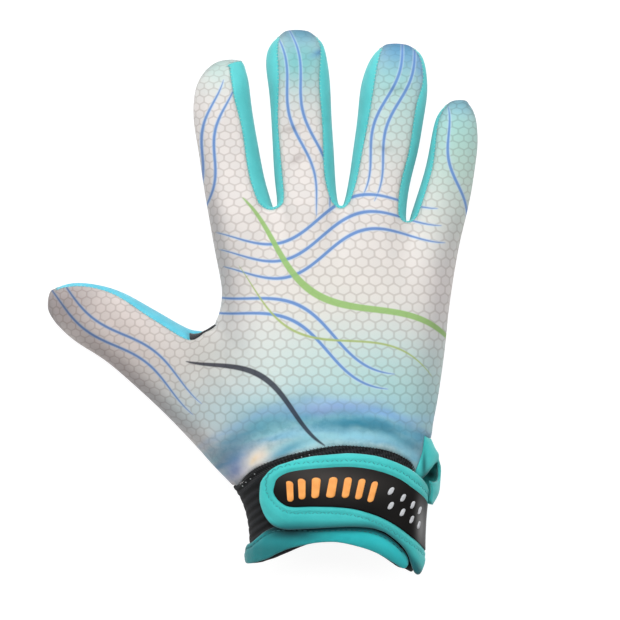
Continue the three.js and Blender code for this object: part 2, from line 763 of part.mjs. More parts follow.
// Places between a piece's top and bottom edge; angles fall from the first row to the last.
function strip(rows, across, extra = []) {
  const angles = [...new Set([...rows.map((row) => row.angle), ...extra])].sort((a, b) => b - a);
  return angles.map((angle) =>
    steps(across, (_, v) => {
      const top = along(rows, "angle", angle, "top");
      const bottom = along(rows, "angle", angle, "bottom");
      return { angle, y: mix(bottom, top, v) };
    }),
  );
}

// The wrist band ends lower behind the side gusset.
function bandPlaces() {
  const places = [];
  for (let angle = 180; angle > -180; angle -= BAND_STEP) {
    const dip = SIDE_DIP * ease(1 - Math.abs(angle - SIDE_DIP_MIDDLE) / SIDE_DIP_REACH);
    const top = along(HAND_END, "angle", angle, "y") - SEAM_GAP - dip;
    const bottom = along(BAND_END, "angle", angle, "y");
    places.push(steps(BAND_ROWS, (_, v) => ({ angle, y: mix(bottom, top, v) })));
  }
  return places;
}

// y halfway between the patch's edges.
function patchMiddle(angle) {
  const at = (column) => along(PATCH, "angle", angle, column);
  return (at("top") + at("bottom")) / 2;
}

// A leaning mark on the patch: a small sheet whose top end is turned a few degrees.
function mark(angle, middleY, width, long, lean) {
  return steps(2, (_, u) =>
    steps(2, (_k, v) => ({
      angle: angle - (u - 0.5) * width - (v - 0.5) * lean,
      y: middleY + (v - 0.5) * long,
    })),
  );
}

// How far the layers of the cuff stand off from the wrist band.
const TAB_LOW = LAYER_GAP;
const STRAP_LOW = TAB_LOW + TAB_WALL + LAYER_GAP;
const PATCH_LOW = STRAP_LOW + STRAP_WALL + LAYER_GAP;
const MOTIF_LOW = PATCH_LOW + PATCH_WALL + LAYER_GAP / 2;

// colours and finish
const LOOKS = {
  print: { color: 0xc9d6d8, roughness: 0.75 },
  aqua: { color: 0x45c3c1, roughness: 0.8 },
  lightAqua: { color: 0x78cddd, roughness: 0.8 },
  black: { color: 0x1d2022, roughness: 0.85 },
  grip: { color: 0x26292b, roughness: 0.7 },
  rubber: { color: 0x24201f, roughness: 0.35 },
  orange: { color: 0xf2a052, roughness: 0.45 },
  silver: { color: 0xc4c6c8, roughness: 0.4 },
};
const glove = new THREE.Group();
glove.name = "aqua_fitness_glove";
function addPiece(name, look, geometry) {
  const material = new THREE.MeshStandardMaterial({ ...LOOKS[look], metalness: 0 });
  const mesh = new THREE.Mesh(geometry, material);
  mesh.name = name;
  glove.add(mesh);
}

const normals = cornerNormals();
addPiece(BACK, "print", clothPiece(BACK, normals));
addPiece(PALM, "grip", clothPiece(PALM, normals));
for (const piece of FOURCHETTES) addPiece(piece, "aqua", clothPiece(piece, normals));
addPiece(THUMB_STRIP, "lightAqua", clothPiece(THUMB_STRIP, normals));
addPiece(SIDE_PIECE, "aqua", clothPiece(SIDE_PIECE, normals));
addPiece("wrist_band", "black", sheet(bandPlaces(), -BAND_WALL, 0, true));
const tabPlaces = strip(TAB, TAB_ROWS);
addPiece("cuff_tab", "aqua", sheet(tabPlaces, TAB_LOW, TAB_LOW + TAB_WALL));
addPiece("hook_pad", "black", sheet(strip(PAD, PAD_ROWS), TAB_LOW, TAB_LOW + PAD_WALL));
// The strap and its patch share their lines, so that they stay parallel round the side.
const patchAngles = PATCH.map((row) => row.angle);
const strapAngles = STRAP.map((row) => row.angle);
const shared = strapAngles.filter((angle) => angle < patchAngles[0] && angle > patchAngles.at(-1));
const strapPlaces = strip(STRAP, STRAP_ROWS, [...patchAngles, -27, -48, -75]);
const patchPlaces = strip(PATCH, PATCH_ROWS, shared);
addPiece("strap", "aqua", sheet(strapPlaces, STRAP_LOW, STRAP_LOW + STRAP_WALL));
addPiece("strap_patch", "rubber", sheet(patchPlaces, PATCH_LOW, PATCH_LOW + PATCH_WALL));
for (let i = 0; i < BAR_COUNT; i++) {
  const v = i / (BAR_COUNT - 1);
  const angle = mix(BAR.firstAngle, BAR.lastAngle, v);
  const places = mark(angle, patchMiddle(angle), BAR.width, BAR.long, BAR.lean);
  addPiece("motif_bar_" + (i + 1), "orange", sheet(places, MOTIF_LOW, MOTIF_LOW + MOTIF_WALL));
}
for (let i = 0; i < 2 * DASH_COUNT; i++) {
  const v = (i % DASH_COUNT) / (DASH_COUNT - 1);
  const angle = mix(DASH.firstAngle, DASH.lastAngle, v);
  const y = patchMiddle(angle) + (i < DASH_COUNT ? DASH.gap : -DASH.gap) / 2;
  const places = mark(angle, y, DASH.width, DASH.long, DASH.lean);
  addPiece("motif_dash_" + (i + 1), "silver", sheet(places, MOTIF_LOW, MOTIF_LOW + MOTIF_WALL));
}

export default glove;
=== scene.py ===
# %% [markdown]
# # A stretch fitness glove
# The real glove is sewn from flat pieces: a printed back, a grip palm, narrow side strips between
# the fingers, and a cuff with a wrapped strap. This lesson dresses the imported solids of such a
# glove. Every step first says what the piece is on the real glove, how it could be made, and why
# this way was chosen.

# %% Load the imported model
import math

import bpy
import numpy as np
from mathutils import Matrix, Vector
from mathutils.kdtree import KDTree


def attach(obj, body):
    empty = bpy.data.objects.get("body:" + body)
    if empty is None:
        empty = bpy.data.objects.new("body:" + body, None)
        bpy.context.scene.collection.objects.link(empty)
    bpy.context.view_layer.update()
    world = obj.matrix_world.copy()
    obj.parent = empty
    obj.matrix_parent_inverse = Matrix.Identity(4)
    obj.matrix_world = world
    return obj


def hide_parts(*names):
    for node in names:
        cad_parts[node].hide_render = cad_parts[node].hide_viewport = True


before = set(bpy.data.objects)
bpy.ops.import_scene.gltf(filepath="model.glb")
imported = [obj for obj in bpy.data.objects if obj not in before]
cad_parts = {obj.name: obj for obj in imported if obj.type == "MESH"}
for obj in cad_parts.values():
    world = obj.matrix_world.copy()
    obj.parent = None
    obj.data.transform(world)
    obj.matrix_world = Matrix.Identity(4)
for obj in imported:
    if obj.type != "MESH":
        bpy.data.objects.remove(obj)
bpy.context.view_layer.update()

MM = 0.001

# %% [markdown]
# ## Camera, table and light
# The glove lies palm down and is seen straight from above. A camera close by would lean the
# fingers' sides outwards, so a long lens far away keeps them upright, as in the photograph. The
# table is white. A bright world could light the glove alone, but then it would look flat, so wide
# soft lamps do most of it and leave only a faint shadow.

# %% Camera and table
PIXEL = 0.43 * MM  # size of a picture point on the table
PICTURE = 620
PICTURE_CENTRE = (20.64 * MM, -3.65 * MM)
PICTURE_ORIGIN = (262, 301.5)  # the picture point over the frame's origin
CAMERA_HEIGHT = 2.5
SHARP_HEIGHT = 0.016  # the height at which the picture's scale is exact
SENSOR = 36
TABLE_SIDE, TABLE_DROP = 6, 0.0002  # the table lies a hair below the glove


def placed(name, data):
    """A new object at the origin, linked to the scene."""
    made = bpy.data.objects.new(name, data)
    bpy.context.scene.collection.objects.link(made)
    return made


camera_data = bpy.data.cameras.new("camera")
camera_data.sensor_width = SENSOR
camera_data.lens = SENSOR * (CAMERA_HEIGHT - SHARP_HEIGHT) / (PICTURE * PIXEL)
camera_data.clip_end = 20
camera = placed("camera", camera_data)
camera.location = (*PICTURE_CENTRE, CAMERA_HEIGHT)
bpy.context.scene.camera = camera

bpy.ops.mesh.primitive_plane_add(size=TABLE_SIDE, location=(0, 0, -TABLE_DROP))
table_top = bpy.context.object
table_top.name = "table_top"
print("lens", round(camera_data.lens), "mm")

# %% Light
def lamp(name, size, power, place, aim=(0.02, -0.02, 0.02)):
    """A square soft lamp that looks at one point."""
    data = bpy.data.lights.new(name, "AREA")
    data.size = size
    data.energy = power
    lit = placed(name, data)
    lit.location = place
    lit.rotation_euler = (Vector(aim) - Vector(place)).to_track_quat("-Z", "Y").to_euler()


lamp("high_lamp", 0.8, 12.8, (0.02, 0.6, 1.35))
lamp("far_lamp", 0.7, 3, (0.02, 1.15, 0.7))
lamp("left_lamp", 0.9, 6.4, (-0.9, 0.22, 0.85))
lamp("right_lamp", 0.9, 4.2, (0.95, 0.3, 0.95))
world = bpy.data.worlds.new("studio")
bpy.context.scene.world = world
world.use_nodes = True
backdrop = world.node_tree.nodes["Background"]
backdrop.inputs["Color"].default_value = (1, 1, 1, 1)
backdrop.inputs["Strength"].default_value = 0.14
bpy.context.scene.view_settings.view_transform = "Standard"
print("lamps:", [lit.name for lit in bpy.data.lights])

# %% [markdown]
# ## Sizes of the hand part
# A pattern maker describes a glove by cross-sections: where a finger starts and ends on its left
# and right, how high it is, and how far in its seams lie. Curves traced round the outline would
# not say how thick it is. The same tables made the solids, so the dressed glove lands on them.
# All sizes here are millimetres.

# %% Tables of sections
CLOTH = 1.3  # thickness of the cloth's wall
BACK_COLUMNS, SIDE_COLUMNS = 6, 4  # patches over a finger, and down one side of it
PALM_ROWS, KNUCKLE_ROWS = 12, 4  # rows down the palm, and those in which a finger's height fades
WEB_ROW, HEEL_ROW, GUSSET_ROW = 5, 11, 10  # rows where the thumb begins and ends, and the gusset
ROUND_TOP, ROUND_UNDER = 2.2, 3  # 2 makes a round section, more makes it boxier
WAIST_SHARE, FINGER_SAG = 0.46, 1.5  # a finger's widest line, and its underside below the table
UNDER_SEAM, UNDER_SHARE = 3.5, 0.3  # how far in the lower seams lie, and their share at most
WEB_DROP, END_SEAM = 2.6, 22  # how far back a web lies, and the angle of the seams at the wrist
LATE_ROWS = {9: 0.012, 10: 0.04, 11: 0.012}  # rows that come later at the little finger's side
WEB_EDGE = [  # places of the thumb's web, by their number down the web's side
    {0: (-20.3, -10.1, 18.5), 1: (-20.3, -10.1, 16), 2: (-20.4, -10.2, 13), 3: (-20.2, -10.1, 6)},
    {0: (-25, -12.8, 22.4), 1: (-25, -12.4, 18.8), 3: (-25, -12.5, 8), 4: (-25, -13.6, 2.4)},
    {3: (-31, -12.5, 7), 4: (-30.9, -14.2, 2.4)},
]


def table(columns, rows):
    """Rows of numbers under named columns."""
    return [dict(zip(columns.split(), row)) for row in rows]


RING = "left_x left_y right_x right_y height left_seam right_seam"
FINGERS = {
    "index": ((-14.6, 104.2), table(RING, [
        (-23.5, 40, 4, 43, 25, 4, 5.2),
        (-25.5, 52, 1, 53, 22.5, 4, 6),
        (-27.4, 65, -1.5, 66, 21.5, 4, 5.6),
        (-29.3, 76.5, -3.5, 77, 21, 4, 5.4),
        (-29.4, 86.5, -5, 87.5, 20, 4, 6.8),
        (-27.5, 95, -6, 95.5, 17.5, 3.5, 7.1),
        (-23, 101, -7.8, 101.5, 12, 2.5, 6.4),
    ])),
    "middle": ((15, 117.1), table(RING, [
        (6.5, 42.5, 32.5, 43.5, 27, 2.4, 2.4),
        (5.5, 52, 31.5, 53, 24, 3, 4.2),
        (4.7, 65, 30.8, 66, 22.5, 2.7, 4.2),
        (4, 78, 29.9, 79, 22, 2.4, 3.8),
        (3, 91, 29.4, 92, 21.5, 3.9, 4.5),
        (1.7, 101.5, 28.4, 101.5, 19.5, 5.2, 3.2),
        (2.9, 109.5, 26.6, 109.8, 16, 3.6, 1.2),
        (6.9, 114, 23.6, 113.9, 11, 1, 0.7),
    ])),
    "ring": ((58.2, 111.2), table(RING, [
        (35.5, 43.5, 62, 36.5, 26, 2, 3.2),
        (37.5, 53, 63.5, 50, 23.5, 3, 3.7),
        (39.2, 65, 66.9, 63.5, 22.5, 3.6, 3.6),
        (41, 78, 69.2, 76.5, 22, 4.5, 3.9),
        (42, 88.5, 70.9, 87, 21.5, 5.2, 3.6),
        (43.4, 96, 71.1, 95, 20, 5, 1.4),
        (46.7, 104.5, 69.5, 104.5, 16.5, 3.2, 0.9),
        (51, 109.2, 66, 108.8, 11, 1.1, 0.7),
    ])),
    "little": ((84.8, 86.9), table(RING, [
        (64, 37, 88.1, 37.5, 22, 2.6, 4),
        (67.6, 48, 90.3, 48, 20.5, 2.6, 4),
        (70.4, 57.5, 91.7, 57.5, 19.5, 2.5, 3.5),
        (72.2, 66, 92.8, 66, 18.5, 1.9, 3.5),
        (73.5, 73, 92.8, 73.5, 17, 1.3, 3),
        (75.6, 80, 91.8, 80.5, 14, 0.8, 2.5),
        (79.3, 84.6, 89.4, 84.9, 10, 0.6, 1.8),
    ])),
    "thumb": ((-92.2, 0.8), table(RING, [
        (-25, -66.2, -25, -12.4, 33, 5, 0.4),
        (-27.2, -63.8, -31, -12, 32.5, 5, 4.6),
        (-41.5, -48.5, -40.5, -6.5, 29, 4, 4.3),
        (-55.5, -35.6, -50, -1.5, 26.5, 4, 3.4),
        (-68, -25, -60, 3.9, 24.5, 4, 2),
        (-78.5, -18.5, -70.5, 7.1, 22, 3.5, 1.2),
        (-85.9, -12.5, -81.6, 8, 17.5, 3, 1),
        (-90, -7.8, -88.6, 5.8, 12, 2, 1),
    ])),
}
BODY = table("y left right top under waist thumb_top thumb_under", [
    (48, -25, 90, 24, -3, 10, 10, 10),
    (40, -23.5, 88.5, 25, -3, 10, 10, 10),
    (24, -20.7, 84.9, 27.5, -3, 11, 11, 11),
    (7, -17.6, 81.9, 30, -3, 12, 12, 12),
    (-3, -17.6, 80.5, 31.5, -3, 13, 15, 10),
    (-10, -19, 79.7, 32.5, -3, 13, 20, 7),
    (-21, -20, 78.6, 34, -3, 14, 26, 4),
    (-39, -19.5, 76, 36.5, -3, 16, 28, 4),
    (-55, -20, 73.3, 38.5, -2, 18, 27, 6),
    (-61, -20.5, 72.4, 39, -1, 19, 25, 9),
    (-69, -22.8, 70.2, 39.7, 1.5, 20, 22, 17),
    (-74, -18.2, 68.3, 40, 3.6, 21, 21.5, 20.5),
    (-79, -12.4, 66.8, 40.2, 4.8, 22, 22, 22),
    (-87, -8.1, 65.7, 40.4, 5.2, 22.5, 22.5, 22.5),
    (-95, -6, 65, 40.4, 5.2, 22.5, 22.5, 22.5),
    (-105, -5.3, 64.7, 40.4, 5.2, 22.5, 22.5, 22.5),
    (-120, -5.6, 65.1, 40.4, 5.2, 22.5, 22.5, 22.5),
])
HAND_END = table("angle y", [
    (-180, -79.8), (-150, -78.2), (-110, -75), (-70, -74), (-22, -73), (0, -73), (22, -72.5),
    (29, -69.8), (40, -66.8), (56, -63.5), (76, -61.6), (88, -62), (103, -65.4), (125, -71.5),
    (146, -76.6), (163, -79.1), (180, -79.8),
])
GUSSET = table("start stop y0 y1 y2 y3 y4 off0 off1 off2 off3 off4", [
    (21, -22, -65.5, -66, -65, -65.5, -66, 0, 2.8, 4.4, 3.5, 0),
    (22, -22, -72.5, -76.3, -68.2, -69.4, -72.5, 0, 2.2, 5.2, 4.8, 0),
    (17, -24, -76.9, -77.1, -75.2, -75.4, -77, 6.8, 7.9, 9, 8, 3.2),
    (9, -26, -81.6, -82.4, -82.2, -82.2, -82.4, 7.1, 9, 10.2, 9.4, 7.2),
    (3, -26, -86.4, -87.3, -87.5, -87.4, -87, 7.1, 7.7, 8.1, 8, 7.4),
])
GUSSET_FOLD = 2
print("finger sections:", sum(len(rows) for _, rows in FINGERS.values()))

# %% Reading tables, lines and rounded sections
def mix(a, b, v):
    return a + (b - a) * v


def ease(v):
    v = min(1, max(0, v))
    return v * v * (3 - 2 * v)


def bump(x, middle, width):
    """1 in the middle, falling smoothly to 0 on both sides."""
    return np.exp(-((x - middle) / width) ** 2)


def cos_sin(degrees):
    return math.cos(math.radians(degrees)), math.sin(math.radians(degrees))


def own_axes(dx, dy, degrees):
    """Parts of a step along and across a direction that is turned by some degrees."""
    c, s = cos_sin(degrees)
    return dx * c + dy * s, dy * c - dx * s


def walked(points):
    """The length walked along a line of points, up to each of them."""
    return np.concatenate(([0], np.cumsum(np.linalg.norm(np.diff(points, axis=0), axis=1))))


def at_picture(x, y):
    """Millimetres on the table under a point of the picture."""
    return (x - PICTURE_ORIGIN[0]) * PIXEL / MM, (PICTURE_ORIGIN[1] - y) * PIXEL / MM


def along(rows, key, x, column):
    """One column at x, on a smooth line through the rows."""
    if rows[0][key] > rows[-1][key]:
        rows = rows[::-1]
    if x <= rows[0][key]:
        return rows[0][column]
    if x >= rows[-1][key]:
        return rows[-1][column]
    i = 0
    while x > rows[i + 1][key]:
        i += 1

    def slope(j):
        a, b = rows[max(0, j - 1)], rows[min(len(rows) - 1, j + 1)]
        return (b[column] - a[column]) / (b[key] - a[key])

    width = rows[i + 1][key] - rows[i][key]
    v = (x - rows[i][key]) / width
    return (
        rows[i][column] * (1 + 2 * v) * (1 - v) ** 2
        + slope(i) * width * v * (1 - v) ** 2
        + rows[i + 1][column] * v * v * (3 - 2 * v)
        + slope(i + 1) * width * v * v * (v - 1)
    )


def turn(angle):
    """Shares of the half width and the half height at an angle round a section."""
    c, s = np.cos(np.radians(angle)), np.sin(np.radians(angle))
    power = np.where(s >= 0, 2 / ROUND_TOP, 2 / ROUND_UNDER)
    return np.sign(c) * np.abs(c) ** power, np.sign(s) * np.abs(s) ** power


def angle_at(across, roundness):
    c = math.copysign(min(1, abs(across)) ** (roundness / 2), across)
    return math.degrees(math.acos(c))


BODY_Y = np.arange(-122, 50.1, 0.25)
BODY_LINES = {name: np.array([along(BODY, "y", y, name) for y in BODY_Y]) for name in BODY[0]}


def body_row(y):
    """The palm's or wrist's section at y."""
    return {name: np.interp(y, BODY_Y, line) for name, line in BODY_LINES.items()}


def span(row):
    """The middle and the half width of a section."""
    return (row["left"] + row["right"]) / 2, (row["right"] - row["left"]) / 2


def body_point(y, angle, off=0.0):
    """Points at y, at an angle round the section, standing off by some millimetres."""
    y, angle, off = np.broadcast_arrays(*(np.asarray(v, float) for v in (y, angle, off)))
    row = body_row(y)
    across, up = turn(angle)
    middle, half = span(row)
    thumb = np.where(up > 0, row["thumb_top"], row["thumb_under"])
    thumb = np.where(np.abs(up) < 1e-9, (row["thumb_top"] + row["thumb_under"]) / 2, thumb)
    waist = np.where(across < 0, thumb, row["waist"])
    reach = np.where(up >= 0, row["top"] + off - waist, waist - row["under"] + off)
    return np.stack((middle + (half + off) * across, y, waist + reach * up), axis=-1)


print("top of the wrist:", body_point(-90, 90).round(1))

# %% [markdown]
# ## The net of the hand part
# A glove's hand part could be sculpted, but then its seams would wander. Here one net of
# four-sided patches follows the pattern: rows across the palm, rings round every finger, a little
# web between two fingers, and the thumb growing out of the side. Each patch knows the cloth piece
# it belongs to, and the net can be smoothed as one skin before it is cut along its seams.

# %% Net of patches
net_points = []
net_faces = []  # (piece, four corners)


def add_point(point):
    net_points.append(np.array(point, float))
    return len(net_points) - 1


def finger_ring(row):
    """Corner numbers of one ring: back, right side, underside and left side."""
    left = np.array((row["left_x"], row["left_y"]))
    right = np.array((row["right_x"], row["right_y"]))
    middle, half = (left + right) / 2, (right - left) / 2
    width = float(np.hypot(*half))
    waist = row["height"] * WAIST_SHARE

    def place(angle):
        across, up = turn(angle)
        reach = row["height"] - waist if up >= 0 else waist + FINGER_SAG
        return add_point((*(middle + half * across), waist + reach * up))

    back_left = 180 - angle_at(1 - row["left_seam"] / width, ROUND_TOP)
    back_right = angle_at(1 - row["right_seam"] / width, ROUND_TOP)
    below = angle_at(1 - min(UNDER_SEAM / width, UNDER_SHARE), ROUND_UNDER)
    steps = [i / BACK_COLUMNS for i in range(BACK_COLUMNS + 1)]
    back = [place(mix(back_left, back_right, v)) for v in steps]
    under = [place(mix(180 + below, 360 - below, v)) for v in steps]

    def side(top, flat, low, first, last):
        inner = []
        for k in range(1, SIDE_COLUMNS):
            v = k / SIDE_COLUMNS
            angle = mix(top, flat, v * 2) if v < 0.5 else mix(flat, low, v * 2 - 1)
            inner.append(place(angle))
        return [first, *inner, last]

    return {
        "back": back,
        "under": under,
        "left": side(back_left, 180, 180 + below, back[0], under[0]),
        "right": side(back_right, 0, -below, back[-1], under[-1]),
    }


def loop_of(ring):
    return ring["back"] + ring["right"][1:-1] + ring["under"][::-1] + ring["left"][1:-1][::-1]


def join_rings(near, far, back, right, under, left, right_edge=None):
    a, b = loop_of(near), loop_of(far)
    pieces = [back] * BACK_COLUMNS + [right_edge or right] + [right] * (SIDE_COLUMNS - 1)
    pieces += [under] * BACK_COLUMNS + [left] * SIDE_COLUMNS
    for i, piece in enumerate(pieces):
        n = (i + 1) % len(a)
        net_faces.append((piece, (a[i], a[n], b[n], b[i])))


def close_tip(ring, tip, back, under, strip=None):
    """The rounded end of a finger; its last column is the strip's where that runs up round it."""
    centre = np.mean([net_points[i] for i in loop_of(ring)], axis=0)
    reach = np.array((tip[0] - centre[0], tip[1] - centre[1], 0))
    grid = []
    for i in range(BACK_COLUMNS + 1):
        top, low = ring["back"][i], ring["under"][i]
        line = [top]
        for k in range(1, SIDE_COLUMNS):
            if i in (0, BACK_COLUMNS):
                line.append(ring["left" if i == 0 else "right"][k])
                continue
            v = k / SIDE_COLUMNS
            across, height = 2 * i / BACK_COLUMNS - 1, 2 * v - 1
            bulge = math.sqrt((1 - across**2) * (1 - height**4))
            sides = net_points[ring["left"][k]], net_points[ring["right"][k]]
            base = mix(*sides, i / BACK_COLUMNS)
            base[2] = mix(net_points[top][2], net_points[low][2], v)
            line.append(add_point(base + reach * bulge))
        grid.append(line + [low])
    for i in range(BACK_COLUMNS):
        for k in range(SIDE_COLUMNS):
            a, b = grid[i], grid[i + 1]
            piece = back if k < SIDE_COLUMNS / 2 else under
            if i == BACK_COLUMNS - 1:
                piece = strip or piece
            net_faces.append((piece, (a[k + 1], a[k], b[k], b[k + 1])))
    return grid


BACK, PALM = "back_panel", "palm_panel"
STRIPS = ["fourchette_index_middle", "fourchette_middle_ring", "fourchette_ring_little"]
THUMB_STRIP, SIDE_PIECE = "thumb_gusset", "side_gusset"
rings, tips = {}, {}
for f, name in enumerate(("index", "middle", "ring", "little")):
    tip, rows = FINGERS[name]
    left = BACK if f == 0 else STRIPS[f - 1]
    right = BACK if f == 3 else STRIPS[f]
    rings[name] = [finger_ring(row) for row in rows]
    for near, far in zip(rings[name], rings[name][1:]):
        join_rings(near, far, BACK, right, PALM, left)
    tips[name] = close_tip(rings[name][-1], tip, BACK, PALM, right if name == "index" else None)
bases = [rings[name][0] for name in ("index", "middle", "ring", "little")]
print("net after the fingers:", len(net_faces), "patches")

# %% [markdown]
# ### Webs, palm and sides
# Between two fingers the side strips meet in a small web. The palm could be a sheet of its own with
# the fingers joined to it, but rows that run on from the finger rings to the wrist keep one even
# flow of patches, so the skin has no pinch where a finger begins.

# %% Webs, palm rows and sides
webs = []
for f, piece in enumerate(STRIPS):
    near, far = bases[f]["right"], bases[f + 1]["left"]
    web = []
    for a, b in zip(near, far):
        point = mix(net_points[a], net_points[b], 0.5)
        point[1] = min(net_points[a][1], net_points[b][1]) - WEB_DROP
        web.append(add_point(point))
    for k in range(SIDE_COLUMNS):
        net_faces.append((piece, (near[k + 1], near[k], web[k], web[k + 1])))
        net_faces.append((piece, (web[k + 1], web[k], far[k], far[k + 1])))
    webs.append(web)


def palm_rows(which, edge, first_angle, last_angle):
    """Rows from the finger bases' line to the hand part's end, on the back or the underside."""
    first = []
    for f, base in enumerate(bases):
        first += base[which] + ([webs[f][edge]] if f < len(webs) else [])
    roundness, sign = (ROUND_TOP, 1) if which == "back" else (ROUND_UNDER, -1)
    columns = []
    for i, corner in enumerate(first):
        start = net_points[corner]
        middle, half = span(body_row(start[1]))
        across = (start[0] - middle) / half
        shape = body_point(start[1], sign * angle_at(across, roundness))
        end = mix(first_angle, last_angle, i / (len(first) - 1))
        end_y = along(HAND_END, "angle", end, "y")
        columns.append((start, across, start[2] - shape[2], turn(end)[0], end_y))
    rows = [first]
    for j in range(1, PALM_ROWS + 1):
        v = j / PALM_ROWS
        line = []
        for i, (start, across, rise, end_across, end_y) in enumerate(columns):
            late = v + LATE_ROWS.get(j, 0) * ease(4 * i / (len(first) - 1) - 3)
            y = mix(start[1], end_y, late)
            angle = angle_at(mix(across, end_across, ease(late)), roundness)
            point = body_point(y, sign * angle)
            point[2] += rise * (1 - ease(j / KNUCKLE_ROWS))
            line.append(add_point(point))
        rows.append(line)
    return rows


back_rows = palm_rows("back", 0, 180 - END_SEAM, END_SEAM)
under_rows = palm_rows("under", SIDE_COLUMNS, END_SEAM - 180, -END_SEAM)
LAST = len(back_rows[0]) - 1


def side_of(j, sign):
    """Corners down the palm's side at row j, from the back's edge to the palm's edge."""
    column = 0 if sign < 0 else LAST
    top, low = back_rows[j][column], under_rows[j][column]
    a, b = net_points[top], net_points[low]
    line = [top]
    for k in range(1, SIDE_COLUMNS):
        v = k / SIDE_COLUMNS
        y = mix(a[1], b[1], v)
        middle, half = span(body_row(y))
        above = angle_at(abs(a[0] - middle) / half, ROUND_TOP)
        below = angle_at(abs(b[0] - middle) / half, ROUND_UNDER)
        lift = mix(above, 0, v * 2) if v < 0.5 else -mix(0, below, v * 2 - 1)
        line.append(add_point(body_point(y, 180 - lift if sign < 0 else lift)))
    return line + [low]


left_side, right_side = {0: bases[0]["left"]}, {0: bases[3]["right"]}
for j in range(1, PALM_ROWS + 1):
    if not WEB_ROW < j < HEEL_ROW:
        left_side[j] = side_of(j, -1)
    if j <= GUSSET_ROW:
        right_side[j] = side_of(j, 1)
for j in range(PALM_ROWS):
    far, near = back_rows[j], back_rows[j + 1]
    low_far, low_near = under_rows[j], under_rows[j + 1]
    for i in range(LAST):
        net_faces.append((BACK, (near[i], near[i + 1], far[i + 1], far[i])))
        net_faces.append((PALM, (low_near[i + 1], low_near[i], low_far[i], low_far[i + 1])))
    for k in range(SIDE_COLUMNS):
        if j + 1 in left_side and j in left_side and not WEB_ROW <= j < HEEL_ROW:
            a, b = left_side[j], left_side[j + 1]
            net_faces.append((BACK, (b[k + 1], b[k], a[k], a[k + 1])))
        if j + 1 in right_side:
            a, b = right_side[j], right_side[j + 1]
            net_faces.append((BACK, (b[k], b[k + 1], a[k + 1], a[k])))
print("net with the palm:", len(net_faces), "patches")

# %% [markdown]
# ### Thumb and side gusset
# The thumb leaves the palm's side between two rows, so its first ring is made of corners that are
# there already. The side gusset is a folded strip that lets the wrist open. It could be a second
# mesh laid over the glove, but as rows of the same net it stays sewn to the back.

# %% Thumb and side gusset
rings["thumb"] = [{
    "back": [back_rows[HEEL_ROW - i][0] for i in range(BACK_COLUMNS + 1)],
    "under": [under_rows[HEEL_ROW - i][0] for i in range(BACK_COLUMNS + 1)],
    "left": left_side[HEEL_ROW],
    "right": left_side[WEB_ROW],
}]
rings["thumb"] += [finger_ring(row) for row in FINGERS["thumb"][1]]
for ring, line in zip(rings["thumb"], WEB_EDGE):
    for k, place in line.items():
        net_points[ring["right"][k]] = np.array(place, float)
for i, (near, far) in enumerate(zip(rings["thumb"], rings["thumb"][1:])):
    join_rings(near, far, BACK, THUMB_STRIP if i else PALM, PALM, BACK,
               THUMB_STRIP if i > 1 else PALM)
tips["thumb"] = close_tip(rings["thumb"][-1], FINGERS["thumb"][0], BACK, PALM)

gusset_rows = [right_side[GUSSET_ROW]]
for i, row in enumerate(GUSSET):
    j = GUSSET_ROW + 1 + i
    line = []
    for k in range(SIDE_COLUMNS + 1):
        if j <= PALM_ROWS and k in (0, SIDE_COLUMNS):
            line.append((back_rows if k == 0 else under_rows)[j][LAST])
            continue
        angle = mix(row["start"], row["stop"], k / SIDE_COLUMNS)
        line.append(add_point(body_point(row[f"y{k}"], angle, row[f"off{k}"])))
    gusset_rows.append(line)
for j, (far, near) in enumerate(zip(gusset_rows, gusset_rows[1:])):
    for k in range(SIDE_COLUMNS):
        if j == GUSSET_FOLD and k < SIDE_COLUMNS / 2:
            continue
        net_faces.append((SIDE_PIECE, (near[k], near[k + 1], far[k + 1], far[k])))
print("whole net:", len(net_points), "corners,", len(net_faces), "patches")

# %% [markdown]
# ### Softening
# Where rings and rows meet, the net has small steps that cloth would never show. They could be
# moved one by one. Drawing the corners of the palm and of the thumb's root a little towards their
# neighbours smooths them all at once, and the free edges stay where they are.

# %% Soften the net and lay it on the table
SOFTEN, SOFTEN_ROUNDS = 0.35, 2
links = [set() for _ in net_points]
edge_count = {}
for _, corners in net_faces:
    for a, b in zip(corners, corners[1:] + corners[:1]):
        links[a].add(b)
        links[b].add(a)
        key = (min(a, b), max(a, b))
        edge_count[key] = edge_count.get(key, 0) + 1
free = {corner for edge, count in edge_count.items() if count == 1 for corner in edge}
soft = {i for j in range(1, PALM_ROWS) for i in back_rows[j] + under_rows[j]}
soft |= {i for ring in rings["thumb"][:4] for i in loop_of(ring)}
soft -= {i for ring in rings["thumb"][:3] for i in ring["right"]}
for _ in range(SOFTEN_ROUNDS):
    moved = list(net_points)
    for i in soft - free:
        around = np.mean([net_points[j] for j in links[i]], axis=0)
        moved[i] = mix(net_points[i], around, SOFTEN)
    net_points = moved
cage = np.array(net_points)
cage[:, 2] = np.maximum(cage[:, 2], 0)
print("net box:", cage.min(0).round(1), cage.max(0).round(1))

# %% [markdown]
# ## Where the print lies
# Printed cloth is flat when the pattern is printed, so on the glove the honeycomb keeps its size
# along the surface and only looks narrower where a finger turns down. An automatic unwrap would
# turn and stretch the cells. Here each corner of the net gets its place on the flat cloth by
# walking along the net: across a section by the length round it, along a finger by the length of
# its middle line.

# %% Flat places of the back's corners
flat = cage[:, :2].copy()


def run(line, sign=1.0):
    """Lengths walked along a line of corners, from its first one."""
    return sign * walked(cage[line])


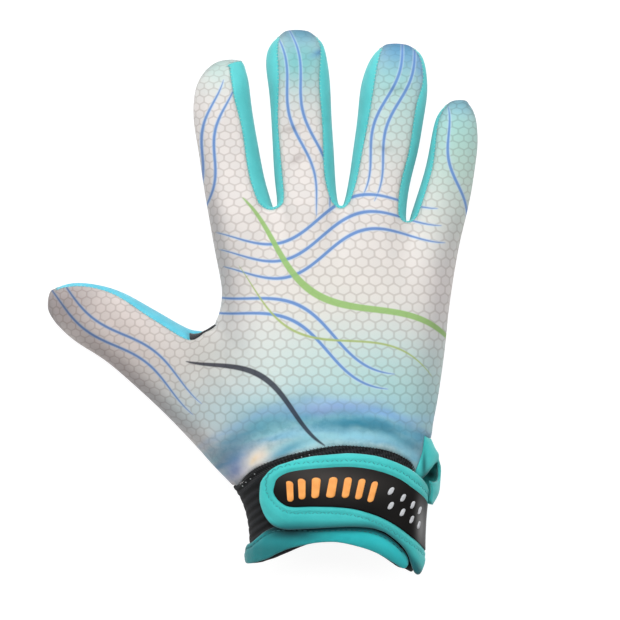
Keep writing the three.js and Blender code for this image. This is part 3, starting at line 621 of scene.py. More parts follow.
MIDDLE = LAST // 2
middle_line = [line[MIDDLE] for line in back_rows]
far_end = cage[middle_line[0], 1]
for line, down in zip(back_rows, run(middle_line)):
    centre = cage[line[MIDDLE]]
    arc = walked(cage[line][:, [0, 2]])
    flat[line, 0] = centre[0] + arc - arc[MIDDLE]
    flat[line, 1] = far_end - down + cage[line, 1] - centre[1]
for side, sign in ((left_side, -1), (right_side, 1)):
    for line in side.values():
        flat[line, 0] = flat[line[0], 0] + run(line, sign)
        flat[line, 1] = flat[line[0], 1]
HALF = BACK_COLUMNS // 2
FINGER_LONG, FINGER_WIDE = 1.26, 1.14  # the print is smaller on the fingers, so more of it fits
for name, finger in rings.items():
    centre = flat[finger[0]["back"][HALF]]
    for before, ring in zip(finger, finger[1:]):
        was, now = before["back"][HALF], ring["back"][HALF]
        step = cage[now] - cage[was]
        centre = centre + step[:2] / np.linalg.norm(step[:2]) * np.linalg.norm(step) * FINGER_LONG
        across = cage[ring["right"][2], :2] - cage[ring["left"][2], :2]
        across /= np.linalg.norm(across)
        arc = FINGER_WIDE * (run(ring["back"]) - run(ring["back"])[HALF])
        flat[ring["back"]] = centre + np.outer(arc, across)
        flat[ring["right"]] = centre + np.outer(arc[-1] + run(ring["right"]), across)
        flat[ring["left"]] = centre + np.outer(arc[0] - run(ring["left"]), across)
    ahead = np.array((-across[1], across[0]))
    for line in tips[name]:
        flat[line[1:-1]] = flat[line[0]] + np.outer(run(line)[1:-1], ahead)
print("flat cloth:", flat.min(0).round(), flat.max(0).round())

# %% [markdown]
# ## One smooth skin, cut along its seams
# A cloth simulation could blow the glove up, but it would move the seams away from their places.
# Subdivision rounds the net in a known way. It also draws it inwards, so the net is first pushed
# out until the rounded skin passes through its corners. Along a seam the stitches pull the cloth
# down into a small groove.

# %% Rounding the net
SKIN_LEVEL, PUSHES, PUSH = 2, 3, 0.85
TIP_REACH, TIP_ROUNDS = 7.0, 14  # how far and how long the fingertips are smoothed
TIP_PULLS = (0.6, -0.615)  # the second pull of each round swells the tip again
piece_names = [BACK, PALM, *STRIPS, THUMB_STRIP, SIDE_PIECE]


def finished(holder):
    """The plain mesh that an object's modifiers give; the object itself is removed."""
    depsgraph = bpy.context.evaluated_depsgraph_get()
    mesh = bpy.data.meshes.new_from_object(holder.evaluated_get(depsgraph))
    bpy.data.objects.remove(holder)
    return mesh


def read(items, field, width=1, kind=float):
    """A field of a mesh's items, as one row of numbers for each item."""
    values = np.zeros(len(items) * width, kind)
    items.foreach_get(field, values)
    return values.reshape(-1, width) if width > 1 else values


def rounded(points, level):
    """Catmull-Clark mesh of the net, with its flat places and its cloth pieces' numbers."""
    mesh = bpy.data.meshes.new("round")
    mesh.from_pydata(points.tolist(), [], [corners for _, corners in net_faces])
    places = flat[read(mesh.loops, "vertex_index", kind=int)]
    mesh.uv_layers.new(name="flat").data.foreach_set("uv", places.ravel())
    numbers = [piece_names.index(piece) for piece, _ in net_faces]
    mesh.attributes.new("piece", "INT", "FACE").data.foreach_set("value", numbers)
    made = placed("round", mesh)
    rounding = made.modifiers.new("round", "SUBSURF")
    rounding.levels = rounding.render_levels = level
    rounding.use_limit_surface = True
    rounding.boundary_smooth = "PRESERVE_CORNERS"
    smooth = finished(made)
    bpy.data.meshes.remove(mesh)
    return smooth


def search_tree(places):
    """A tree that finds the nearest of some places in the plane or in space."""
    tree = KDTree(len(places))
    for i, place in enumerate(places):
        tree.insert((*place, 0)[:3], i)
    tree.balance()
    return tree


def distance_from(points, seeds, reach):
    """Distance of each point from the nearest seed point, up to a reach."""
    tree = search_tree(points[seeds])
    return np.array([min(reach, tree.find(point)[2]) for point in points])


pushed = cage.copy()
for _ in range(PUSHES):
    trial = rounded(pushed, 1)
    pushed += PUSH * (cage - read(trial.vertices, "co", 3)[: len(cage)])
    bpy.data.meshes.remove(trial)
skin = rounded(pushed, SKIN_LEVEL)
skin_points = read(skin.vertices, "co", 3)
tip_corners = [i for grid in tips.values() for line in grid for i in line]
tip_share = 1 - np.clip(distance_from(skin_points, tip_corners, TIP_REACH) / TIP_REACH, 0, 1)
skin_edges = read(skin.edges, "vertices", 2, int)
neighbours = np.bincount(skin_edges.ravel(), minlength=len(skin_points))[:, None]
for pull in TIP_PULLS * TIP_ROUNDS:
    total = np.zeros_like(skin_points)
    np.add.at(total, skin_edges[:, 0], skin_points[skin_edges[:, 1]])
    np.add.at(total, skin_edges[:, 1], skin_points[skin_edges[:, 0]])
    skin_points = skin_points + (total / neighbours - skin_points) * (tip_share * pull)[:, None]
print("skin:", len(skin.vertices), "points; net corners off by",
      round(float(np.abs(skin_points[: len(cage)] - cage).max()), 2), "mm")

# %% Seam lines of the skin
SEAM_DEPTH, SEAM_REACH, SEAM_FAR = 0.45, 1.3, 8.0
PUFF, PUFF_MIDDLE, PUFF_WIDTH = 0.12, 2.4, 1.4  # the cloth swells a little beside a seam
SHALLOW_TIPS = 1.6  # how soon a seam's groove ends towards a fingertip
skin_quads = read(skin.loops, "vertex_index", kind=int).reshape(-1, 4)
skin_uv = read(skin.uv_layers["flat"].data, "uv", 2).reshape(-1, 4, 2)
skin_piece = read(skin.attributes["piece"].data, "value", kind=int)


def point_normals(points, quads):
    """Outward direction at each point, from the faces round it."""
    across = np.cross(points[quads[:, 2]] - points[quads[:, 0]],
                      points[quads[:, 3]] - points[quads[:, 1]])
    normals = np.zeros_like(points)
    for k in range(4):
        np.add.at(normals, quads[:, k], across)
    return normals / np.maximum(np.linalg.norm(normals, axis=1), 1e-12)[:, None]


def edge_table(quads):
    """Every edge of the quads in face order, as (a, b) and its face's number."""
    ab = np.concatenate([quads[:, [k, (k + 1) % 4]] for k in range(4)])
    return ab, np.tile(np.arange(len(quads)), 4)


ab, owner = edge_table(skin_quads)
pieces_at = {}
for edge, face in zip(map(tuple, np.sort(ab, axis=1)), owner):
    pieces_at.setdefault(edge, []).append(skin_piece[face])
seam_points = sorted({p for edge, who in pieces_at.items()
                      if len(who) == 2 and who[0] != who[1] for p in edge})
seam_distance = distance_from(skin_points, seam_points, SEAM_FAR)
shallow = np.clip(1 - SHALLOW_TIPS * tip_share, 0, 1)
groove = SEAM_DEPTH * shallow * bump(seam_distance, 0, SEAM_REACH)
puff = PUFF * bump(seam_distance, PUFF_MIDDLE, PUFF_WIDTH)
normals = point_normals(skin_points, skin_quads)
skin_points = skin_points + normals * (puff - groove)[:, None]
print("seam points:", len(seam_points))

# %% [markdown]
# ### Folds
# Stretch cloth over a filled hand is nearly smooth. It gathers a little where it is sewn to the
# elastic wrist, buckles in shallow dents above a knuckle, and creases at the root of the thumb.
# Sculpted dents would be lost with every change of the net, so each fold is a short wave with a
# place, a direction, a length and a depth.

# %% Folds and dents
FOLDS = table("x y turn length width wave depth", [
    (300, 436, 4, 60, 9, 6.5, 0.55),
    (355, 424, 6, 58, 12, 9, 0.5),
    (372, 436, -6, 40, 7, 5.5, 0.4),
    (292, 414, 14, 50, 10, 10, 0.35),
    (262, 448, 28, 26, 12, 6, 0.5),
    (408, 436, -30, 30, 12, 7, 0.5),
    (296, 138, -35, 16, 7, 5.2, 0.34),
    (291, 152, 25, 14, 6, 5, 0.28),
    (309, 124, -20, 16, 5, 5, 0.2),
    (386, 150, 20, 16, 6, 7, 0.2),
    (236, 128, 10, 14, 6, 7, 0.2),
    (222, 345, -40, 30, 9, 8, 0.4),
    (214, 372, -44, 36, 9, 9, 0.4),
    (246, 470, 50, 26, 10, 6, 0.5),
])
FOLD_BOW, FOLD_OFF_SEAM = 0.04, 3  # how folds curve, and how far from a seam they are whole
LOWEST = 0.02  # the folds end this high over the table
lift = np.zeros(len(skin_points))
for fold in FOLDS:
    cx, cy = at_picture(fold["x"], fold["y"])
    run_along, run_across = own_axes(skin_points[:, 0] - cx, skin_points[:, 1] - cy, fold["turn"])
    near = bump(run_along, 0, fold["length"] / 2) * bump(run_across, 0, fold["width"])
    bend = run_across + FOLD_BOW * run_along**2 / fold["width"]
    lift += fold["depth"] * near * np.cos(2 * math.pi * bend / fold["wave"])
lift *= np.clip(normals[:, 2], 0, 1) * np.clip(seam_distance / FOLD_OFF_SEAM, 0, 1)
skin_points = skin_points + normals * lift[:, None]
skin_points[:, 2] = np.maximum(skin_points[:, 2], LOWEST)
normals = point_normals(skin_points, skin_quads)
print("deepest fold:", round(float(-lift.min()), 2), "mm")

# %% [markdown]
# ### Cutting
# A glove is cut from flat cloth and then sewn. One Solidify modifier could give the whole skin a
# wall, but then the pieces would be joined. So each piece is cut out by itself, with its outside,
# its inside and a rim, and is drawn back from its seams by a hair.

# %% Cutting the pieces
SEAM_GAP = 0.09  # how far a piece is drawn back from its seam


def cut_piece(name):
    """One cloth piece as a closed wall: outside, inside and rim, drawn back from its seams."""
    mine = skin_piece == piece_names.index(name)
    quads, uv = skin_quads[mine], skin_uv[mine]
    used, local = np.unique(quads, return_inverse=True)
    quads = local.reshape(-1, 4)
    points, out = skin_points[used].copy(), normals[used]
    ab, owner = edge_table(quads)
    corner = np.repeat(np.arange(4), len(quads))
    edges = {edge: n for n, edge in enumerate(map(tuple, ab))}
    rim = [n for (a, b), n in edges.items() if (b, a) not in edges]
    inward = np.zeros_like(points)
    for a, b in ab[rim]:
        into = np.cross(out[a] + out[b], points[b] - points[a])
        into /= np.linalg.norm(into) + 1e-9
        inward[a] += into
        inward[b] += into
    size = np.linalg.norm(inward, axis=1)
    on_rim = size > 1e-6
    points[on_rim] += inward[on_rim] / size[on_rim, None] * SEAM_GAP
    count = len(points)
    all_faces = quads.tolist() + (quads[:, ::-1] + count).tolist()
    all_uv = list(uv.reshape(-1, 2)) + list(uv[:, ::-1].reshape(-1, 2))
    for n in rim:
        a, b = (int(v) for v in ab[n])
        ua, ub = uv[owner[n], corner[n]], uv[owner[n], (corner[n] + 1) % 4]
        all_faces.append([b, a, a + count, b + count])
        all_uv += [ub, ua, ua, ub]
    return solid(name, np.vstack((points, points - out * CLOTH)), all_faces, all_uv)


def solid(name, points, faces, uv=None):
    """A mesh object at the origin from millimetre points, faces and flat places."""
    mesh = bpy.data.meshes.new(name + "_dressed")
    mesh.from_pydata((np.asarray(points) * MM).tolist(), [], faces)
    if uv is not None:
        mesh.uv_layers.new(name="flat").data.foreach_set("uv", (np.array(uv) * MM).ravel())
    mesh.polygons.foreach_set("use_smooth", [True] * len(mesh.polygons))
    mesh.update()
    print(name, len(faces), "faces")
    return placed(name + "_dressed", mesh)


hand = {name: cut_piece(name) for name in piece_names}

# %% [markdown]
# ## The cuff
# The cuff is a stack of flat strips wound round one wrist: an elastic band, a padded tab, the
# closing strap and the rubber patch on it. Each strip is drawn flat, as its top and bottom edge by
# the turn round the wrist, and is then laid on the wrist's section at its own height in the stack.
# A Curve modifier could bend flat strips too, but their heights would drift, and one strip would
# cut into the next. Foam rubber is cut thick, so its edges are rolled round.

# %% Tables of the cuff
BAND_END = table("angle y", [
    (-180, -112.2), (-150, -110.2), (-120, -105.5), (-90, -103), (-60, -105.5), (-30, -111),
    (-10, -115.4), (5, -115.8), (16.8, -115.1), (25, -114.2), (34.8, -113.4), (42, -111.7),
    (51, -109.1), (59, -106.9), (66.5, -105.2), (73, -104), (79, -103), (85, -102.2), (90, -101.9),
    (99, -102.3), (107, -103.9), (111.2, -104.8), (120.2, -106.9), (126.2, -108.1), (132.8, -109.4),
    (141.5, -110.5), (148.2, -111.3), (161.5, -111.9), (180, -112.2),
])
TAB = table("angle top bottom", [
    (196, -110.4, -111.5), (193, -108.9, -112), (187, -107, -112.2), (180, -105.4, -112.2),
    (172, -104.2, -112.2), (165, -103.5, -112.1), (158, -102.9, -111.9), (148, -100.6, -111.1),
    (137, -97.6, -109.7), (128.5, -96, -107.7), (118, -95.4, -105.4), (110.8, -95.5, -104.3),
    (106, -95.7, -103.7), (98.8, -96, -102.8),
    (90, -95.7, -102.4), (85, -95.4, -102.7), (79, -95.4, -103.5), (73, -95.7, -104.5),
    (66.5, -96.4, -105.7), (59.2, -97.6, -107.4), (51.2, -99.6, -109.6), (41.8, -102.9, -112.2),
    (34.8, -105.6, -113.9), (31, -107, -113.9), (28, -109, -113), (26.4, -110.6, -111.9),
])
STRAP = table("angle top bottom", [
    (133.8, -86.6, -87.6), (133.5, -85.4, -89.5), (132.5, -83.7, -91.3), (131.4, -82.3, -92.6),
    (129.4, -80.3, -94.1), (127, -78.3, -95.3), (124, -76.7, -96.2), (120, -75, -96.9),
    (117, -73.7, -97.1), (114.5, -72.5, -97.2), (110.5, -70.9, -97.1), (107.3, -69.7, -97),
    (104.8, -69, -96.9), (102.4, -68.3, -96.8), (98, -67.1, -96.6), (92, -65.8, -96.3),
    (84.5, -65, -96), (77, -64.6, -95.9), (66, -65.4, -96.5), (59.8, -66.4, -97.5),
    (55, -67.4, -98.6), (49.8, -68.6, -100.4),
    (43.8, -70.1, -102.6), (38.5, -71.4, -104.8), (35, -72.4, -106.5), (32, -73.2, -108.4),
    (30, -73.7, -110.2), (27.5, -74.4, -112.6), (25, -75, -114.7), (22, -75.7, -116.2),
    (17, -76.8, -116.8), (8, -78.6, -114.8), (0, -80, -112.4),
    (-15, -82, -110.4), (-35, -83, -108.4), (-60, -83, -106.5), (-90, -82.4, -103),
    (-112, -82.4, -103),
])
PATCH = table("angle top bottom", [
    (119, -81.2, -82.6), (118, -79.9, -84.2), (116, -78.2, -85.8), (113, -76.2, -87),
    (109, -74.4, -87.4), (103, -72.6, -87.3), (96.5, -71.6, -87.2), (87.5, -70.7, -87.4),
    (78, -70.3, -88.2), (69, -70.9, -89.9), (58.8, -72.7, -92.4), (47.8, -75.5, -95.8),
    (36, -79.3, -99.7), (26, -81.9, -102.3), (14, -84.6, -105), (3, -86.6, -106.5),
    (-6, -87.6, -107), (-20, -88.4, -106),
])
PAD = table("angle top bottom", [
    (126, -80, -92), (122, -77.8, -93.4), (114, -75.5, -93.9), (104, -73.4, -93.4),
])
SIDE_DIP, SIDE_DIP_MIDDLE, SIDE_DIP_REACH, BAND_TOP_GAP = 4, -6, 44, 0.34
print("strap turns through", STRAP[0]["angle"] - STRAP[-1]["angle"], "degrees")

# %% Laying strips round the wrist
WRIST_Y, WRIST_OFF = -92.0, 3
ROUND_ANGLES = np.arange(-200, 226, 0.5)
ROUND_LENGTH = walked(body_point(WRIST_Y, ROUND_ANGLES, WRIST_OFF))


def length_at(angle):
    """Millimetres round the wrist at an angle, and back again."""
    return np.interp(angle, ROUND_ANGLES, ROUND_LENGTH)


def angle_of(length):
    """The angle at so many millimetres round the wrist."""
    return np.interp(length, ROUND_LENGTH, ROUND_ANGLES)


ROUND_TURN = float(length_at(180) - length_at(-180))


def close_spaced(length, step):
    """Places from 0 to length, a step apart but closer at both ends, where edges are rolled."""
    edge = np.array((0, 0.1, 0.3, 0.6, 1.0, 1.5, 2.1, 2.8))
    edge = edge[edge < length / 2 - step / 2]
    inner = np.linspace(edge[-1], length - edge[-1], max(2, round((length - 2 * edge[-1]) / step)))
    return np.concatenate((edge[:-1], inner, length - edge[-2::-1]))


def rolled(depth, roll):
    """Share of the full thickness at a depth inside an edge that is rolled round."""
    return np.sqrt(1 - (1 - np.minimum(depth / roll, 1)) ** 2)


class Outline:
    """The flat outline of a strip: its edges in millimetres round the wrist and along it."""

    def __init__(self, rows):
        self.rows = rows
        self.start, self.stop = length_at(rows[0]["angle"]), length_at(rows[-1]["angle"])
        close = np.geomspace(0.002, 3, 80)
        u = np.sort(np.concatenate((np.linspace(self.start, self.stop, 900),
                                    self.start - close, self.stop + close)))[::-1]
        top, low = self.edges(u)
        edge = [np.column_stack((u, line)) for line in (top, low)]
        for end in (0, -1):
            edge.append(np.column_stack((np.full(40, u[end]), np.linspace(low[end], top[end], 40))))
        self.tree = search_tree(np.vstack(edge))

    def edges(self, u):
        """y of the upper and the lower edge at places round the wrist."""
        pairs = [[along(self.rows, "angle", a, side) for side in ("top", "bottom")]
                 for a in np.ravel(angle_of(u))]
        return np.array(pairs).T.reshape(2, *np.shape(u))

    def depth(self, u, y):
        """How far inside the outline a place is, in millimetres; outside it is negative."""
        away = np.array([self.tree.find((a, b, 0))[2] for a, b in zip(u.ravel(), y.ravel())])
        top, low = self.edges(u)
        inside = (y <= top) & (y >= low) & (u <= self.start) & (u >= self.stop)
        return np.where(inside, 1, -1) * away.reshape(u.shape)


def strip_solid(name, u, y, low, high, closed=False):
    """A closed wall over a grid of places, from its underside's height to its top's."""
    lines, count = u.shape
    top, under = (body_point(y, angle_of(u), height) for height in (high, low))
    shared = np.zeros(u.shape, bool)
    shared[:, [0, -1]] = True
    if not closed:
        shared[[0, -1]] = True
    top_number = np.arange(lines * count).reshape(lines, count)
    under_number = top_number.copy()
    under_number[~shared] = lines * count + np.arange((~shared).sum())
    i, k = np.ogrid[: lines if closed else lines - 1, : count - 1]
    j = (i + 1) % lines

    def corners(grid):
        return [grid[i, k], grid[j, k], grid[j, k + 1], grid[i, k + 1]]

    outside, inside = (np.stack(corners(grid), -1).reshape(-1, 4)
                       for grid in (top_number, under_number))
    places = corners(np.stack((u, y), -1))
    if closed:
        for past_end in places[1:3]:
            past_end[-1, :, 0] -= ROUND_TURN
    uv = np.stack(places, -2).reshape(-1, 4, 2)
    return solid(name, np.vstack((top.reshape(-1, 3), under[~shared])),
                 np.vstack((outside, inside[:, ::-1])).tolist(),
                 np.vstack((uv, uv[:, ::-1])).reshape(-1, 2))


def wrap(name, outline, low, high, roll, step, face=None):
    """A strip laid round the wrist, with rolled edges and an optional relief on its face."""
    u = outline.start - close_spaced(outline.start - outline.stop, step)
    top, bottom = outline.edges(u)
    width = float((top - bottom).max())
    share = close_spaced(width, step) / width
    y = bottom[:, None] + (top - bottom)[:, None] * share[None, :]
    u = np.repeat(u[:, None], len(share), axis=1)
    depth = np.maximum(outline.depth(u, y), 0)
    depth[:, [0, -1]] = 0
    depth[[0, -1]] = 0
    half = (high - low) / 2
    thick = half * rolled(depth, roll)
    relief = face(u, y, depth) if face else 0
    return strip_solid(name, u, y, low + half - thick, low + half + thick + relief * thick / half)


print("round the wrist:", round(ROUND_TURN, 1), "mm")

# %% [markdown]
# ### Strap, patch, tab and pad
# The strap is foam rubber between two layers of jersey. A zigzag seam holds the patch's border, so
# the border swells on both sides of that seam, and the patch lies a little lower than the border.
# The tab below it is of the same foam, stitched along its upper edge. A painted bump could hint at
# all this, but the swelling catches the lamps and shows at the edge, so it is real relief.

# %% Strap, patch, tab and pad
strap_outline, patch_outline, tab_outline, pad_outline = map(Outline, (STRAP, PATCH, TAB, PAD))
STRAP_LOW, STRAP_HIGH = 2.2, 4.8
PATCH_LOW, PATCH_HIGH = 4.86, 5.5
TAB_LOW, TAB_HIGH, PAD_HIGH = 0.3, 1.9, 1.6
STITCH_OFF = 2.7  # the strap's seam runs this far outside the patch
TAB_STITCH = 1.9  # the tab's seam runs this far inside its upper edge
SEAM_SINK, SEAM_WIDTH = 0.42, 0.55
BORDER_SWELL, BORDER_WIDTH = 0.62, 9  # height and width of the border round the patch


def strap_face(u, y, depth):
    """Relief of the strap: a swollen border round the patch, with a sunk seam in it."""
    outside = -patch_outline.depth(u, y)
    border = np.clip(outside / 1.2, 0, 1) * np.clip(depth / 2.5, 0, 1)
    swell = BORDER_SWELL * border * np.clip((BORDER_WIDTH - outside) / 3, 0, 1)
    ripple = 0.06 * np.sin(u * 0.9) * bump(outside, STITCH_OFF, 1.6)
    return swell + ripple - SEAM_SINK * bump(outside, STITCH_OFF, SEAM_WIDTH)


def tab_face(u, y, depth):
    """Relief of the tab: soft foam with a sunk seam under its upper edge."""
    top, _ = tab_outline.edges(u)
    swell = 0.35 * np.clip((depth - 1) / 2.5, 0, 1) + 0.05 * np.sin(u * 1.1)
    return swell - 0.45 * bump(top - y, TAB_STITCH, SEAM_WIDTH)


strap = wrap("strap", strap_outline, STRAP_LOW, STRAP_HIGH, roll=1.7, step=0.7, face=strap_face)
patch = wrap("strap_patch", patch_outline, PATCH_LOW, PATCH_HIGH, roll=0.45, step=1.0)
tab = wrap("cuff_tab", tab_outline, TAB_LOW, TAB_HIGH, roll=1.5, step=0.8, face=tab_face)
pad = wrap("hook_pad", pad_outline, TAB_LOW, PAD_HIGH, roll=0.5, step=1.2)

# %% [markdown]
# ### Wrist band
# The band is elastic sewn on while it is stretched. When it springs back it gathers into fine
# slanted ridges, and its lower hem stays a little thicker. The ridges could be copies of one
# ridge, but a wave with a whole number of ridges in a turn closes without a join.

# %% Wrist band
def band_edge(angles):
    """y of the band's upper edge, which dips behind the side gusset."""
    dip = [SIDE_DIP * ease(1 - abs(a - SIDE_DIP_MIDDLE) / SIDE_DIP_REACH) for a in angles]
    return np.array([along(HAND_END, "angle", a, "y") for a in angles]) - BAND_TOP_GAP - dip


RIB_PITCH, RIB_DEPTH, RIB_SLANT = 3.3, 0.2, 0.42
BAND_HALF, HEM_RISE = 0.8, 0.2  # half the elastic's thickness, and its thicker hem
band_u = np.linspace(length_at(180), length_at(-180), 300)[:-1]
band_angle = angle_of(band_u)
band_top = band_edge(band_angle)[:, None]
band_low = np.array([along(BAND_END, "angle", a, "y") for a in band_angle])[:, None]
band_share = close_spaced(40, 0.8) / 40
band_y = band_low + (band_top - band_low) * band_share[None, :]
band_u = np.repeat(band_u[:, None], len(band_share), axis=1)
band_depth = np.minimum(band_y - band_low, band_top - band_y)
waves = round(ROUND_TURN * RIB_SLANT / RIB_PITCH) / ROUND_TURN
ridge = np.sin(2 * math.pi * (waves * band_u + band_y / RIB_PITCH))
band_thick = BAND_HALF * rolled(band_y - band_low, 0.8) * rolled(band_top - band_y, 0.3)
relief = RIB_DEPTH * ridge * np.clip((band_depth - 0.8) / 2, 0, 1) - 0.15
relief += HEM_RISE * bump(band_depth, 1.2, 0.8) * band_thick
band = strip_solid("wrist_band", band_u, band_y, -BAND_HALF - band_thick,
                   -BAND_HALF + band_thick + relief, closed=True)

# %% [markdown]
# ### Raised marks on the patch
# A rubber patch is moulded with its marks raised. Here they are a plain pattern: seven leaning
# bars, then two rows of short dashes, each with rounded corners and a soft upper edge. An extruded
# shape would not bend round the wrist, so each mark is built of rings laid on it.

# %% Raised marks
BAR_COUNT, BAR_ANGLES = 7, (108, 66)
DASH_COUNT, DASH_ANGLES, DASH_OFF = 4, (54, 25), 3.1
MARK_LOW, MARK_HIGH = 5.42, 5.95
MM_PER_DEGREE = float(length_at(100) - length_at(60)) / 40
MARK_RINGS = table("share height", [(1.0, 0), (1.0, 0.55), (0.93, 0.85), (0.8, 1), (0.4, 1.05)])


def mark(name, angle, middle, width, long, lean):
    """One raised mark: rings of a rounded rectangle, from its foot to the middle of its top."""
    half_w, half_l = width * MM_PER_DEGREE / 2, long / 2
    corner = min(half_w, half_l) * 0.95
    around = []
    for cx, cy, first in ((1, 1, 0), (-1, 1, 90), (-1, -1, 180), (1, -1, 270)):
        for degrees in np.linspace(first, first + 90, 9):
            c, s = cos_sin(degrees)
            around.append((cx * (half_w - corner) + corner * c, cy * (half_l - corner) + corner * s))
    around = np.array(around)
    points = []
    for level in MARK_RINGS:
        ring = around * (1 - (1 - level["share"]) * corner / np.abs(around).max(0))
        turned = angle - ring[:, 0] / MM_PER_DEGREE - ring[:, 1] / long * lean
        height = mix(MARK_LOW, MARK_HIGH, level["height"])
        points.append(body_point(middle + ring[:, 1], turned, height))
    count = len(around)
    faces = [[r * count + n, r * count + i, (r + 1) * count + i, (r + 1) * count + n]
             for r in range(len(MARK_RINGS) - 1) for i, n in enumerate([*range(1, count), 0])]
    faces.append([(len(MARK_RINGS) - 1) * count + i for i in range(count)][::-1])
    faces.append(list(range(count)))
    return solid(name, np.vstack(points), faces)


def patch_middle(angle):
    """y of the patch's middle line."""
    return (along(PATCH, "angle", angle, "top") + along(PATCH, "angle", angle, "bottom")) / 2


marks = []
for i in range(BAR_COUNT):
    angle = mix(*BAR_ANGLES, i / (BAR_COUNT - 1))
    marks.append(mark(f"motif_bar_{i + 1}", angle, patch_middle(angle), 3.8, long=8.8, lean=4.2))
for i in range(2 * DASH_COUNT):
    angle = mix(*DASH_ANGLES, (i % DASH_COUNT) / (DASH_COUNT - 1))
    middle = patch_middle(angle) + (DASH_OFF if i < DASH_COUNT else -DASH_OFF)
    marks.append(mark(f"motif_dash_{i + 1}", angle, middle, 3.4, long=3.2, lean=2.4))
print(len(marks), "marks")

# %% [markdown]
# ## Paint
# The looks are small sums of shader values. They could be wired by hand in the node editor, but
# long sums are easier to read in one line: a helper class lays the matching Math node for each
# sign between two values. Colours are given as they look on screen.

# %% Shader values as Python sums
def sign(operation, swapped=False):
    """A sign or function that lays one Math node."""
    def lay(value, *others):
        parts = (*others, value) if swapped else (value, *others)
        return value.node("ShaderNodeMath", {"operation": operation}, dict(enumerate(parts)))
    return lay


class Value:
    """A socket of a node tree; Python's signs on it lay Math nodes, node() lays any other."""

    def __init__(self, tree, socket=None):
        self.tree, self.socket = tree, socket

    def node(self, kind, settings=None, values=None, out=0):
        made = self.tree.nodes.new(kind)
        for name, setting in (settings or {}).items():
            setattr(made, name, setting)
        for name, value in (values or {}).items():
            if isinstance(value, Value):
                self.tree.links.new(value.socket, made.inputs[name])
            elif value is not None:
                made.inputs[name].default_value = value
        return Value(self.tree, made.outputs[out] if len(made.outputs) else None)

    __add__ = __radd__ = sign("ADD")
    __mul__ = __rmul__ = sign("MULTIPLY")
    __sub__, __rsub__ = sign("SUBTRACT"), sign("SUBTRACT", swapped=True)
    __pow__, __rpow__ = sign("POWER"), sign("POWER", swapped=True)
    __truediv__, __lt__, __abs__ = sign("DIVIDE"), sign("LESS_THAN"), sign("ABSOLUTE")
    sine, floor, nearest_whole = sign("SINE"), sign("FLOOR"), sign("ROUND")
    least, most = sign("MINIMUM"), sign("MAXIMUM")

    def __neg__(self):
        return self * -1.0

    def bell(self):
        """1 at 0, falling smoothly to 0 on both sides."""
        return math.e ** -(self * self)

    def rise(self, low, high):
        """0 below low, 1 above high, smooth between."""
        values = {"Value": self, "From Min": low, "From Max": high}
        return self.node("ShaderNodeMapRange", {"interpolation_type": "SMOOTHSTEP"}, values)


def screen(red, green, blue):
    """A colour as it looks on screen, 0 to 255, as the shader's light value."""
    parts = (red / 255, green / 255, blue / 255)
    return (*(c / 12.92 if c <= 0.04045 else ((c + 0.055) / 1.055) ** 2.4 for c in parts), 1.0)


class Paint(Value):
    """A new material with its coordinates, in millimetres, ready as values."""

    def __init__(self, name):
        self.material = bpy.data.materials.new(name)
        self.material.use_nodes = True
        super().__init__(self.material.node_tree)
        self.tree.nodes.clear()
        self.place = self.scaled(self.node("ShaderNodeTexCoord", out="Object"))
        self.x, self.y, self.z = self.parts(self.place, 3)
        self.u, self.v = self.parts(self.scaled(self.node("ShaderNodeUVMap", {"uv_map": "flat"})), 2)

    def scaled(self, vector):
        return self.node("ShaderNodeVectorMath", {"operation": "SCALE"}, {0: vector, "Scale": 1 / MM})

    def parts(self, vector, count):
        return [self.node("ShaderNodeSeparateXYZ", None, {0: vector}, k) for k in range(count)]

    def vector(self, x, y, z=0.0):
        return self.node("ShaderNodeCombineXYZ", None, {0: x, 1: y, 2: z})

    def noise(self, scale, detail=2.0, rough=0.5, vector=None):
        values = {"Vector": vector or self.place, "Scale": scale, "Detail": detail, "Roughness": rough}
        return self.node("ShaderNodeTexNoise", None, values)

    def blend(self, share, colour, other, how="MIX"):
        """Colour where share is 0, the other colour where it is 1."""
        return self.node("ShaderNodeMix", {"data_type": "RGBA", "blend_type": how},
                         {0: share, 6: colour, 7: other}, out=2)

    def multiply(self, share, colour, shade):
        """Colour where share is 0, colour times shade where it is 1."""
        return self.blend(share, colour, shade, "MULTIPLY")

    def oval(self, p, q):
        """1 where both are 0, falling smoothly around."""
        return math.e ** -(p * p + q * q)

    def finish(self, colour, roughness, height=None, depth=0.1, **constants):
        """The cloth's surface: its colour, its roughness and a relief some millimetres deep."""
        values = {"Base Color": colour, "Roughness": roughness, **constants}
        if height is not None:
            relief = {"Distance": depth * MM, "Height": height}
            values["Normal"] = self.node("ShaderNodeBump", None, relief)
        self.node("ShaderNodeOutputMaterial", None,
                  {"Surface": self.node("ShaderNodeBsdfPrincipled", None, values)})
        return self.material


print("white on screen is", screen(255, 255, 255)[:3])

# %% [markdown]
# ### Plain knits, elastic and rubber
# Jersey knit is a field of small loops: fine columns crossed by rows, never quite even. Its colour
# wavers a little with the dye. The elastic shows fine cords, the rubber is smooth and half glossy.
# Pictures of cloth would repeat and blur close up, so waves and noise make every finish.

# %% Plain materials
TURN = 2 * math.pi
EDGE_LOW, EDGE_BENDS, EDGE_BEND = 96.5, 43, 0.03  # the strap's lower edge, and how it bends down


